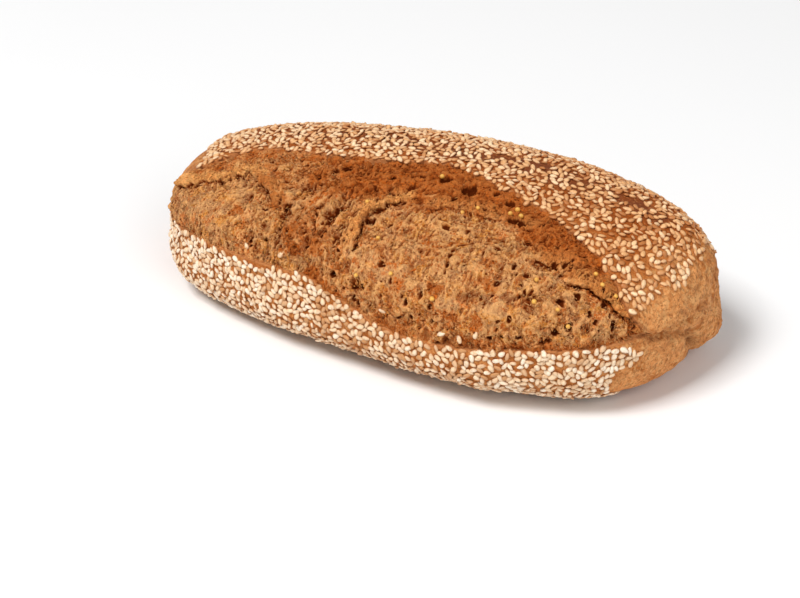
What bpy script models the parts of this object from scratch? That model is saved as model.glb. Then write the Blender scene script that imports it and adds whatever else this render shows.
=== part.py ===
"""Multigrain loaf: a long bread whose top crust has torn open along the front.

The loaf lies along X and rests on the flat of its base. Its front, where the crumb
has burst out between two lips of seeded crust, faces -Y. The origin is the middle of
its box, on the base.

A place on the crust is a pair: x along the loaf, and a section angle, "turn", which
runs round the loaf's cross-section from the back (0) over the ridge (90) to the
broadest point of the front (180), and on under the base (270).
"""

import math
import random
from dataclasses import dataclass

import bmesh
import bpy
import numpy as np
from mathutils import Matrix, Vector, noise
from mathutils.bvhtree import BVHTree

MM = 0.001

# Driving dimensions of the plain loaf, in metres.
LENGTH = 257 * MM
FRONT_WIDTH = 85 * MM
BACK_WIDTH = 48 * MM
HEIGHT = 69.8 * MM
BROADEST_HEIGHT = 35 * MM
TIP_HEIGHT = 25.5 * MM
RIDGE_Y = 19.6 * MM
BASE_SINK = 2.5 * MM

# How much wider and higher the loaf is at its +X end than at its middle.
FRONT_TAPER = 0.06
BACK_TAPER = 0.09
HEIGHT_TAPER = 0.125

# Fullness of the cross-section in its three quarters: 2 is an ellipse, more is squarer.
FRONT_FULLNESS = 2.4
BACK_FULLNESS = 1.8
BASE_FULLNESS = 3.4

# How the sizes fade to the tips: a power along the loaf, and the fullness of the fade.
FRONT_FADE = (3.3, 2.2)
BACK_FADE = (2.2, 1.8)
HEIGHT_FADE = (2.1, 3.1)
BASE_FADE = (5, 3)

# Mesh density: how much closer the columns stand on the burst than under the base, and
# the rings at the tips than at the middle.
RINGS = 64
COLUMNS = 50
CROWDING = 0.42
RING_CROWDING = 0.45
BURST_MIDDLE = math.radians(148)

# The burst: how far its crumb lies below the lips, and how far in it regains the crust.
LIP_DROP = 2.6 * MM
LIP_EDGE = 4 * MM
LIP_REACH = 13 * MM
CRAG_HEIGHT = 1.3 * MM
CRAG_SIZE = 10 * MM
CRAG_SHIFT = 3.7

# The crust's own slow waves, and the height over which all relief dies out at the base.
WAVE_HEIGHT = 0.6 * MM
WAVE_SIZE = 38 * MM
WAVE_SHIFT = 8.1
BASE_MARGIN = 5 * MM

# The torn edges of the crust, as (x in millimetres, turn in degrees).
UPPER_LIP = (
    (-129, 158), (-118, 146), (-104, 129), (-90, 114), (-77, 108), (-44, 107), (0, 105),
    (38, 110), (66, 116), (93, 124), (104, 136), (112, 150), (117, 168),
)
LOWER_LIP = (
    (-129, 176), (-118, 181), (-103, 180), (-81, 172), (-50, 172), (-21, 170), (-7, 178),
    (9, 187), (30, 193), (49, 190), (78, 182), (104, 177), (117, 172),
)

# Sesame: the largest of the seeds, spread evenly over both seeded crusts.
TOP_SEEDS = 94
STRIP_SEEDS = 40
SEED_LENGTH = 3.7 * MM
SEED_WIDTH = 2.2 * MM
SEED_THICKNESS = 1.3 * MM
SEED_PROUD = 0.25 * MM
SEED_TAPER = 0.3
SEED_MARGIN = 3 * MM
CANDIDATES = 24
TOP_SEED_SPAN = (-104 * MM, 118 * MM)
TOP_SEED_TURNS = (math.radians(8), math.radians(150))
STRIP_SEED_SPAN = (-116 * MM, 108 * MM)
STRIP_SEED_TURNS = (math.radians(165), math.radians(235))
STRIP_SEED_HEIGHT = 5 * MM
DRAW = 21

FLAT = 1e-7
CRUST_COLOR = (0.31, 0.13, 0.05)
CRUMB_COLOR = (0.42, 0.22, 0.09)
SESAME_COLOR = (0.78, 0.60, 0.36)
SHARP_ANGLE = math.radians(40)


@dataclass(frozen=True)
class Fold:
    """A raised strand, or a groove where height is negative, that follows a path."""

    path: tuple
    half_width: float
    height: float


@dataclass(frozen=True)
class Swell:
    """A rounded swelling about one place on the crust."""

    place: tuple
    reach_along: float
    reach_across: float
    height: float


FOLDS = {
    "ear": Fold(((-114, 138), (-99, 130), (-86, 124), (-76, 121)), 5 * MM, 3.5 * MM),
    "ear fissure": Fold(
        ((-113, 145), (-104, 141), (-90, 136), (-77, 130), (-66, 130), (-57, 136), (-55, 142)),
        5.5 * MM, -6.5 * MM,
    ),
    "strand": Fold(((-3, 122), (-8, 131), (-10, 142), (-14, 152)), 5.5 * MM, 3.5 * MM),
    "strand fissure": Fold(((5, 122), (1, 130), (0, 139), (-4, 150)), 5 * MM, -5 * MM),
    "rib": Fold(((-28, 120), (-30, 134), (-33, 148)), 6 * MM, 2 * MM),
    "rib valley": Fold(((-42, 124), (-45, 138), (-40, 152)), 6 * MM, -3 * MM),
    "inner valley": Fold(((-19, 128), (-20, 140), (-24, 154)), 5 * MM, -2.5 * MM),
    "right fissure": Fold(((90, 138), (104, 144), (112, 153), (116, 165)), 3.5 * MM, -4.5 * MM),
    "upper fissure": Fold(((50, 121), (63, 121)), 3 * MM, -3 * MM),
    "crumb crease": Fold(((52, 156), (72, 152), (94, 147)), 3 * MM, -1.5 * MM),
    "end crease": Fold(
        ((116, 166), (120, 174), (124, 184), (127, 196), (129, 235)), 4 * MM, -3.5 * MM,
    ),
    "front foot": Fold(((-90, 212), (-10, 210), (60, 208)), 11 * MM, 2 * MM),
}

SWELLS = {
    "left bulge": Swell((-78, 151), 20 * MM, 15 * MM, 2.5 * MM),
    "middle bulge": Swell((34, 146), 42 * MM, 22 * MM, 3.5 * MM),
    "right bulge": Swell((84, 160), 22 * MM, 14 * MM, 1.5 * MM),
    "left foot": Swell((-102, 212), 30 * MM, 13 * MM, 3.5 * MM),
    "back lobe": Swell((124, 305), 10 * MM, 12 * MM, 2 * MM),
}


def fade(station, power, fullness):
    """Fall from one at the middle of the loaf (station 0) to zero at its tips (1, -1)."""
    return np.clip(1 - np.abs(station) ** power, 0, 1) ** (1 / fullness)


def plain_loaf(x, turn):
    """Return the points of the plain loaf, before it tore, for arrays of x and turn.

    Each cross-section is a superellipse in three quarters, about the height at which
    the loaf is broadest. Its widths and heights fade to the tips.
    """
    station = x / (LENGTH / 2)
    front = FRONT_WIDTH * (1 + FRONT_TAPER * station) * fade(station, *FRONT_FADE)
    back = BACK_WIDTH * (1 + BACK_TAPER * station) * fade(station, *BACK_FADE)
    rise = fade(station, *HEIGHT_FADE)
    top = TIP_HEIGHT + (HEIGHT * (1 + HEIGHT_TAPER * station) - TIP_HEIGHT) * rise
    middle = TIP_HEIGHT + (BROADEST_HEIGHT - TIP_HEIGHT) * rise
    bottom = TIP_HEIGHT - (TIP_HEIGHT + BASE_SINK) * fade(station, *BASE_FADE)
    across, up = np.cos(turn), np.sin(turn)
    upper_fullness = np.where(across > 0, BACK_FULLNESS, FRONT_FULLNESS)
    fullness = np.where(up > 0, upper_fullness, BASE_FULLNESS)
    radius = (np.abs(across) ** fullness + np.abs(up) ** fullness) ** (-1 / fullness)
    y = RIDGE_Y + radius * across * np.where(across > 0, back, front)
    z = middle + radius * up * np.where(up > 0, top - middle, middle - bottom)
    return np.stack([x, y, z], axis=-1)


def place_path(path):
    """Return the points on the plain loaf of a path of (x in mm, turn in degrees)."""
    x, turn = np.array(path, dtype=float).T
    return plain_loaf(x * MM, np.radians(turn))


def distance_to_path(points, path):
    """Return each point's distance to the nearest stretch of a path of 3-D points."""
    nearest = np.full(len(points), np.inf)
    for start, end in zip(path[:-1], path[1:]):
        run = end - start
        share = np.clip((points - start) @ run / (run @ run), 0, 1)
        gap = points - (start + share[:, None] * run)
        nearest = np.minimum(nearest, np.linalg.norm(gap, axis=1))
    return nearest


def lip_turn(lip, x):
    """Return the section angle of a lip at each x."""
    along, turn = np.array(lip, dtype=float).T
    return np.radians(np.interp(x, along * MM, turn))


def depth_inside_burst(points, turn):
    """Return the distance of each point to the lips: positive inside the burst."""
    x = points[:, 0]
    lips = [place_path(UPPER_LIP), place_path(LOWER_LIP)]
    gap = np.minimum(distance_to_path(points, lips[0]), distance_to_path(points, lips[1]))
    inside = (turn > lip_turn(UPPER_LIP, x)) & (turn < lip_turn(LOWER_LIP, x))
    inside &= x < UPPER_LIP[-1][0] * MM
    return np.where(inside, gap, -gap)


def crags(points, size, shift):
    """Return smooth noise from -1 to 1, with lumps of the given size, at each point."""
    offset = Vector((shift, shift, shift))
    return np.array([noise.noise(Vector(point) / size + offset) for point in points])


def relief(points, turn):
    """Return how far each point of the plain loaf moves out along its normal."""
    inside = depth_inside_burst(points, turn)
    torn = np.clip(inside / LIP_EDGE, 0, 1)
    height = -LIP_DROP * torn * np.exp(-(inside / LIP_REACH) ** 2)
    height += CRAG_HEIGHT * torn * crags(points, CRAG_SIZE, CRAG_SHIFT)
    height += WAVE_HEIGHT * crags(points, WAVE_SIZE, WAVE_SHIFT)
    for fold in FOLDS.values():
        gap = distance_to_path(points, place_path(fold.path))
        height += fold.height * np.exp(-(gap / fold.half_width) ** 2)
    for swell in SWELLS.values():
        offset = points - place_path((swell.place,))[0]
        along = offset[:, 0] / swell.reach_along
        across = np.linalg.norm(offset[:, 1:], axis=1) / swell.reach_across
        height += swell.height * np.exp(-along ** 2 - across ** 2)
    return height * np.clip(points[:, 2] / BASE_MARGIN, 0, 1)


def read_points(mesh):
    """Return the places of a mesh's vertices, one row each."""
    flat = np.empty(len(mesh.vertices) * 3)
    mesh.vertices.foreach_get("co", flat)
    return flat.reshape(-1, 3)


def write_points(mesh, points):
    """Move a mesh's vertices to the given places."""
    mesh.vertices.foreach_set("co", points.ravel())
    mesh.update()


def read_normals(mesh):
    """Return the directions that a mesh's vertices face, one row each."""
    flat = np.empty(len(mesh.vertices) * 3)
    mesh.vertices.foreach_get("normal", flat)
    return flat.reshape(-1, 3)


def make_material(name, color, roughness):
    """Return a Principled material of one colour."""
    material = bpy.data.materials.new(name)
    material.use_nodes = True
    shader = material.node_tree.nodes["Principled BSDF"]
    shader.inputs["Base Color"].default_value = (*color, 1)
    shader.inputs["Roughness"].default_value = roughness
    shader.inputs["Metallic"].default_value = 0
    material.diffuse_color = (*color, 1)
    return material


def make_object(name, mesh, collection):
    """Return a new object of a mesh, linked to a collection."""
    item = bpy.data.objects.new(name, mesh)
    collection.objects.link(item)
    return item


def make_loaf_mesh(crust, crumb):
    """Return the loaf: a sphere mapped to the plain loaf, torn, and flattened below."""
    bm = bmesh.new()
    turned = Matrix.Rotation(math.radians(90), 4, "Y")
    bmesh.ops.create_uvsphere(
        bm, u_segments=COLUMNS, v_segments=RINGS, radius=1.0, matrix=turned,
    )
    mesh = bpy.data.meshes.new("loaf")
    bm.to_mesh(mesh)
    bm.free()

    ball = read_points(mesh)
    even_turn = np.arctan2(ball[:, 2], ball[:, 1])
    turn = even_turn - CROWDING * np.sin(even_turn - BURST_MIDDLE)
    turn = np.mod(turn, 2 * math.pi)
    ring = np.arcsin(np.clip(ball[:, 0], -1, 1))
    station = RING_CROWDING * np.sin(ring) + (1 - RING_CROWDING) * ring / (math.pi / 2)
    plain = plain_loaf(station * LENGTH / 2, turn)
    write_points(mesh, plain)
    points = plain + read_normals(mesh) * relief(plain, turn)[:, None]
    points[:, 2] = np.maximum(points[:, 2], 0)
    write_points(mesh, points)

    mesh.materials.append(crust)
    mesh.materials.append(crumb)
    inside = depth_inside_burst(plain, turn) > 0
    for face in mesh.polygons:
        face.material_index = int(all(inside[i] for i in face.vertices))
    return mesh


def flatten_base(mesh):
    """Join the faces that lie on the ground into one flat face, and triangulate."""
    bm = bmesh.new()
    bm.from_mesh(mesh)
    flat = [f for f in bm.faces if all(v.co.z < FLAT for v in f.verts)]
    bmesh.ops.dissolve_faces(bm, faces=flat, use_verts=True)
    bmesh.ops.triangulate(bm, faces=bm.faces)
    bm.to_mesh(mesh)
    bm.free()


def make_seed_mesh(color):
    """Return one sesame seed: a flat ball, drawn to a point at its +X end."""
    bm = bmesh.new()
    bmesh.ops.create_icosphere(bm, subdivisions=1, radius=0.5)
    for vert in bm.verts:
        narrowing = 1 - SEED_TAPER * (2 * vert.co.x)
        vert.co.x *= SEED_LENGTH
        vert.co.y *= SEED_WIDTH * narrowing
        vert.co.z *= SEED_THICKNESS
    mesh = bpy.data.meshes.new("sesame")
    bm.to_mesh(mesh)
    bm.free()
    mesh.materials.append(color)
    return mesh


def on_top_crust(x, turn):
    """Say whether a place lies on the seeded top crust, back of the upper lip."""
    edge = lip_turn(UPPER_LIP, x) - SEED_MARGIN / FRONT_WIDTH
    return turn < edge and TOP_SEED_SPAN[0] < x < TOP_SEED_SPAN[1]


def on_strip(x, turn):
    """Say whether a place lies on the seeded strip, below the lower lip."""
    edge = lip_turn(LOWER_LIP, x) + SEED_MARGIN / BROADEST_HEIGHT
    high = plain_loaf(np.array(x), np.array(turn))[2] > STRIP_SEED_HEIGHT
    return turn > edge and high and STRIP_SEED_SPAN[0] < x < STRIP_SEED_SPAN[1]


def spread_places(count, allowed, turns, rng):
    """Return places on one crust, each the farthest of several draws from the others."""
    chosen = []
    while len(chosen) < count:
        best, best_gap = None, -1.0
        drawn = 0
        while drawn < CANDIDATES:
            x = rng.uniform(-LENGTH / 2, LENGTH / 2)
            turn = rng.uniform(*turns)
            if not allowed(x, turn):
                continue
            drawn += 1
            place = Vector(plain_loaf(np.array(x), np.array(turn)))
            gap = min(((place - other).length for other in chosen), default=math.inf)
            if gap > best_gap:
                best, best_gap = place, gap
        chosen.append(best)
    return chosen


def scatter_seeds(loaf, color, collection):
    """Lay the seeds flat on the crust, each turned its own way and half sunk in."""
    rng = random.Random(DRAW)
    tree = BVHTree.FromObject(loaf, bpy.context.evaluated_depsgraph_get())
    places = spread_places(TOP_SEEDS, on_top_crust, TOP_SEED_TURNS, rng)
    places += spread_places(STRIP_SEEDS, on_strip, STRIP_SEED_TURNS, rng)
    mesh = make_seed_mesh(color)
    for index, place in enumerate(places):
        foot, normal, _, _ = tree.find_nearest(place)
        upright = normal.to_track_quat("Z", "Y").to_matrix().to_4x4()
        spin = Matrix.Rotation(rng.uniform(0, 2 * math.pi), 4, "Z")
        seed = make_object(f"sesame_{index:03d}", mesh, collection)
        seed.matrix_world = Matrix.Translation(foot + normal * SEED_PROUD) @ upright @ spin


def fuse_seeds(loaf, collection):
    """Join the seeds to the loaf by one union, apply it, and remove them."""
    union = loaf.modifiers.new("fused seeds", "BOOLEAN")
    union.operation = "UNION"
    union.operand_type = "COLLECTION"
    union.collection = collection
    union.solver = "EXACT"
    union.material_mode = "TRANSFER"
    bpy.context.view_layer.update()
    whole = loaf.evaluated_get(bpy.context.evaluated_depsgraph_get())
    mesh = bpy.data.meshes.new_from_object(whole)
    loaf.modifiers.clear()
    loaf.data = mesh
    for seed in list(collection.objects):
        bpy.data.objects.remove(seed)
    bpy.data.collections.remove(collection)


def stand_on_origin(mesh):
    """Shift the loaf so that the middle of its box, on the base, is the origin."""
    points = read_points(mesh)
    low, high = points.min(axis=0), points.max(axis=0)
    middle = (low + high) / 2
    middle[2] = low[2]
    write_points(mesh, points - middle)


def main():
    """Make the loaf and fuse its seeds."""
    for item in list(bpy.data.objects):
        bpy.data.objects.remove(item)
    bread = bpy.data.collections.new("multigrain_bread")
    seeds = bpy.data.collections.new("sesame")
    bpy.context.scene.collection.children.link(bread)
    bpy.context.scene.collection.children.link(seeds)

    crust = make_material("crust", CRUST_COLOR, 0.55)
    crumb = make_material("crumb", CRUMB_COLOR, 0.85)
    sesame = make_material("sesame", SESAME_COLOR, 0.5)
    mesh = make_loaf_mesh(crust, crumb)
    flatten_base(mesh)
    loaf = make_object("loaf", mesh, bread)
    bpy.context.view_layer.update()
    scatter_seeds(loaf, sesame, seeds)
    fuse_seeds(loaf, seeds)
    loaf.data.name = "loaf"
    stand_on_origin(loaf.data)
    loaf.data.shade_smooth()
    loaf.data.set_sharp_from_angle(angle=SHARP_ANGLE)


main()
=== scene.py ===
"""Looks of the multigrain bread: a long loaf whose seeded crust has torn open.

Everything is worked out in millimetres and written to the meshes in metres. A place on
the crust is a pair: x along the loaf, and a section angle, "turn", which runs round the
cross-section from the back (0) over the ridge (90) to the broadest point of the front
(180), and on under the base (270).
"""

from __future__ import annotations

import logging
import math
from dataclasses import dataclass, field
from enum import Enum

import bmesh
import bpy
import numpy as np
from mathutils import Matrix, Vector


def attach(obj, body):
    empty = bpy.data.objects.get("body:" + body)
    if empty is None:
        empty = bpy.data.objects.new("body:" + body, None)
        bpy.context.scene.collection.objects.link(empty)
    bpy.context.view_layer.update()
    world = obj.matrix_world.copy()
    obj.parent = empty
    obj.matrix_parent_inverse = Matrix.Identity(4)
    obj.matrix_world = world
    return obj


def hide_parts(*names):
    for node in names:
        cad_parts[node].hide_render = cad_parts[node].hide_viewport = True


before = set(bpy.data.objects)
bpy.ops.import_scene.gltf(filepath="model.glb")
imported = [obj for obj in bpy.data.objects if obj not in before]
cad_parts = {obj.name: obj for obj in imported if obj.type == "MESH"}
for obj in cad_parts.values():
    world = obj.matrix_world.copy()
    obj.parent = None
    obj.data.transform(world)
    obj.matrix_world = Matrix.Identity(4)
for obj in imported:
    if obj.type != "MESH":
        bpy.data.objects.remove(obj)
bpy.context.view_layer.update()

Array = np.ndarray
Pair = tuple[float, float]
Triple = tuple[float, float, float]
Color = Triple

LOG = logging.getLogger("multigrain_bread")
MM = 0.001
NODE = "loaf"
BODY = "root"

# Sockets of Blender's colour mix node, which have no names of their own.
MIX_FIRST, MIX_SECOND, MIX_RESULT = 6, 7, 2
# How far noise moves a foam's walls in millimetres, how much of a speck is full, and the
# range of chance over which one fades in.
FOAM_SWAY = 0.4
SPECK_CORE = 0.65
SPECK_EDGE = 0.03


# ---- arithmetic on arrays


def smooth_step(low: float, high: float, value: Array) -> Array:
    """Rise from 0 at low to 1 at high along a cubic with level ends.

    Args:
        low: the value where the step starts.
        high: the value where it ends; it may be the smaller of the two.
        value: the values to map.

    Returns:
        t * t * (3 - 2 t), where t is the share of the way from low to high.
    """
    share = np.clip((value - low) / (high - low), 0.0, 1.0)
    return share * share * (3.0 - 2.0 * share)


def bell(distance: Array, half_width: float) -> Array:
    """Return exp(-(distance / half_width) squared)."""
    return np.exp(-(distance / half_width) ** 2)


def unit(vectors: Array) -> Array:
    """Return vectors divided by their lengths; a zero vector stays zero."""
    length = np.linalg.norm(vectors, axis=-1, keepdims=True)
    return vectors / np.maximum(length, 1e-9)


def read_line(corners: tuple[Pair, ...], place: Array) -> Array:
    """Read a bent line at each place.

    Args:
        corners: the line's (place, value) corners, in order.
        place: where it is read.

    Returns:
        The value, straight between the corners and level beyond them.
    """
    start, level = np.array(corners, dtype=float).T
    return np.interp(place, start, level)


class Channel(Enum):
    """Independent streams of the hashed noise, one for each use."""

    GRADIENT = 11
    CELL = 23
    CHANCE = 37
    SIZE = 53


@dataclass(frozen=True)
class Noise:
    """Repeatable noise in space, made by hashing the corners of a cubic lattice."""

    seed: int

    def _hash(self, corner: Array, channel: int) -> Array:
        """Hash the corners of the lattice.

        The three whole coordinates are multiplied by large odd numbers, joined by
        exclusive or, and stirred by shifts and products, all modulo two to the 32nd.

        Args:
            corner: whole coordinates, in the last axis.
            channel: the stream that the numbers come from.

        Returns:
            A number in [0, 1) for each corner.
        """
        cell = corner.astype(np.int64).astype(np.uint32)
        mixed = cell[..., 0] * np.uint32(0x8DA6B343)
        mixed ^= cell[..., 1] * np.uint32(0xD8163841)
        mixed ^= cell[..., 2] * np.uint32(0xCB1AB31F)
        mixed ^= np.uint32((self.seed * 7919 + channel * 104729) & 0xFFFFFFFF)
        mixed ^= mixed >> np.uint32(13)
        mixed *= np.uint32(0x5BD1E995)
        mixed ^= mixed >> np.uint32(15)
        mixed *= np.uint32(0x27D4EB2F)
        mixed ^= mixed >> np.uint32(13)
        return mixed.astype(np.float64) / 4294967296.0

    def smooth(self, points: Array, size: float) -> Array:
        """Work out smooth noise.

        Each corner of the lattice has a random slope. The value is the slopes' heights
        at the point, blended by the curve 6 t^5 - 15 t^4 + 10 t^3 on each axis.

        Args:
            points: places in millimetres.
            size: the spacing of the lattice in millimetres.

        Returns:
            The noise at each place, from about -1 to 1.
        """
        place = points / size
        base = np.floor(place)
        part = place - base
        blend = part ** 3 * (part * (part * 6.0 - 15.0) + 10.0)
        total = np.zeros(points.shape[:-1])
        for corner in np.ndindex(2, 2, 2):
            offset = np.array(corner, dtype=float)
            cell = base + offset
            height = np.zeros_like(total)
            for axis in range(3):
                slope = self._hash(cell, Channel.GRADIENT.value + axis) * 2.0 - 1.0
                height += slope * (part[..., axis] - offset[axis])
            weight = np.prod(np.where(offset == 1.0, blend, 1.0 - blend), axis=-1)
            total += height * weight
        return total * 1.7

    def layered(self, points: Array, size: float, layers: int = 3) -> Array:
        """Add up smooth noises, each of half the last one's size and height.

        Args:
            points: places in millimetres.
            size: the first one's size.
            layers: how many there are.

        Returns:
            The sum at each place.
        """
        total = np.zeros(points.shape[:-1])
        for layer in range(layers):
            shifted = points + 31.7 * layer
            total += self.smooth(shifted, size / 2 ** layer) / 2 ** layer
        return total

    def ridged(self, points: Array, size: float, layers: int = 2) -> Array:
        """Work out noise with sharp crests: the square of 1 less the noise's size.

        Args:
            points: places in millimetres.
            size: the first layer's size.
            layers: how many there are, each half as large and high as the last.

        Returns:
            The noise at each place, from 0 to 1.
        """
        total = np.zeros(points.shape[:-1])
        for layer in range(layers):
            crest = 1.0 - np.abs(self.smooth(points + 17.3 * layer, size / 2 ** layer))
            total += crest ** 2 / 2 ** layer
        return total / (2.0 - 0.5 ** (layers - 1))

    def billow(self, points: Array, size: float, layers: int = 2) -> Array:
        """Work out round lumps with sharp creases between: the noise without its sign.

        Args:
            points: places in millimetres.
            size: the first layer's size.
            layers: how many there are, each half as large and high as the last.

        Returns:
            The noise at each place, from 0 to 1.
        """
        total = np.zeros(points.shape[:-1])
        for layer in range(layers):
            total += np.abs(self.smooth(points + 23.9 * layer, size / 2 ** layer)) / 2 ** layer
        return total / (2.0 - 0.5 ** (layers - 1))

    def cells(self, points: Array, size: float) -> tuple[Array, Array, Array, Array]:
        """Find the nearest of the points scattered one to each cell of a lattice.

        Args:
            points: places in millimetres.
            size: the spacing of the lattice in millimetres.

        Returns:
            The distances to the nearest and the second nearest, in millimetres, and
            two random numbers that belong to the nearest.
        """
        place = points / size
        base = np.floor(place)
        nearest = np.full(points.shape[:-1], 9.0)
        second = nearest.copy()
        chance = np.zeros_like(nearest)
        scale = np.zeros_like(nearest)
        for step in np.ndindex(3, 3, 3):
            cell = base + (np.array(step) - 1.0)
            jitter = [self._hash(cell, Channel.CELL.value + axis) for axis in range(3)]
            gap = np.linalg.norm(cell + np.stack(jitter, axis=-1) - place, axis=-1)
            closer = gap < nearest
            second = np.where(closer, nearest, np.minimum(second, gap))
            nearest = np.where(closer, gap, nearest)
            chance = np.where(closer, self._hash(cell, Channel.CHANCE.value), chance)
            scale = np.where(closer, self._hash(cell, Channel.SIZE.value), scale)
        return nearest * size, second * size, chance, scale

    def warp(self, points: Array, size: float, amount: float) -> Array:
        """Return the points moved about by three smooth noises."""
        moves = [self.smooth(points + 57.1 * axis, size) for axis in range(3)]
        return points + amount * np.stack(moves, axis=-1)

    def foam(self, points: Array, size: float) -> Array:
        """Work out hollows with thin walls between them.

        Each one is level in the middle and rises to a wall where the two nearest
        scattered points are equally far. Chance sets how deep it is.

        Args:
            points: places in millimetres.
            size: the spacing of the hollows.

        Returns:
            The depth at each place, from 0 to 1.
        """
        near, second, chance, _ = self.cells(points, size)
        return smooth_step(0.0, 0.55 * size, second - near) * (0.25 + 0.75 * chance)


# The noises of the relief and of the seeds, each with a seed of its own.
WAVES = Noise(2)
CRAGS = Noise(3)
LUMPS = Noise(4)
FINE_TEARING = Noise(7)
TEARING = Noise(8)
WRINKLES = Noise(9)
BLISTERS = Noise(10)
FINE_LUMPS = Noise(12)
FOAM = Noise(13)
FINE_FOAM = Noise(14)
END_FOLDS = Noise(17)
END_SWAY = Noise(18)
END_GRAIN = Noise(19)
SWAY = Noise(20)
FINE_SWAY = Noise(21)
RIM_SWAY = Noise(22)
GRAIN = Noise(23)
GAPING = Noise(24)
FINE_RIM_SWAY = Noise(25)
SMOOTH_SPOTS = Noise(26)
LEDGES = Noise(27)
PITS = Noise(28)
FINE_PITS = Noise(29)
FIBRES = Noise(30)
RIB_SWAY = Noise(31)
RIBS = Noise(32)
SEED_EDGES = Noise(41)
SEED_PATCHES = Noise(42)
BARE_RIDGE = Noise(43)
SPARSE = Noise(44)
BLUSH_SWAY = Noise(45)
LIP_SEEDS = (5, 6)

# What the lumps, ledges, crests and folds are about in the middle of their range.
BILLOW_MEAN = 0.3
LEDGE_MEAN = 0.4
RIDGE_MEAN = 0.6
FOLD_MEAN = 0.62


# ---- the form of the loaf


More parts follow.
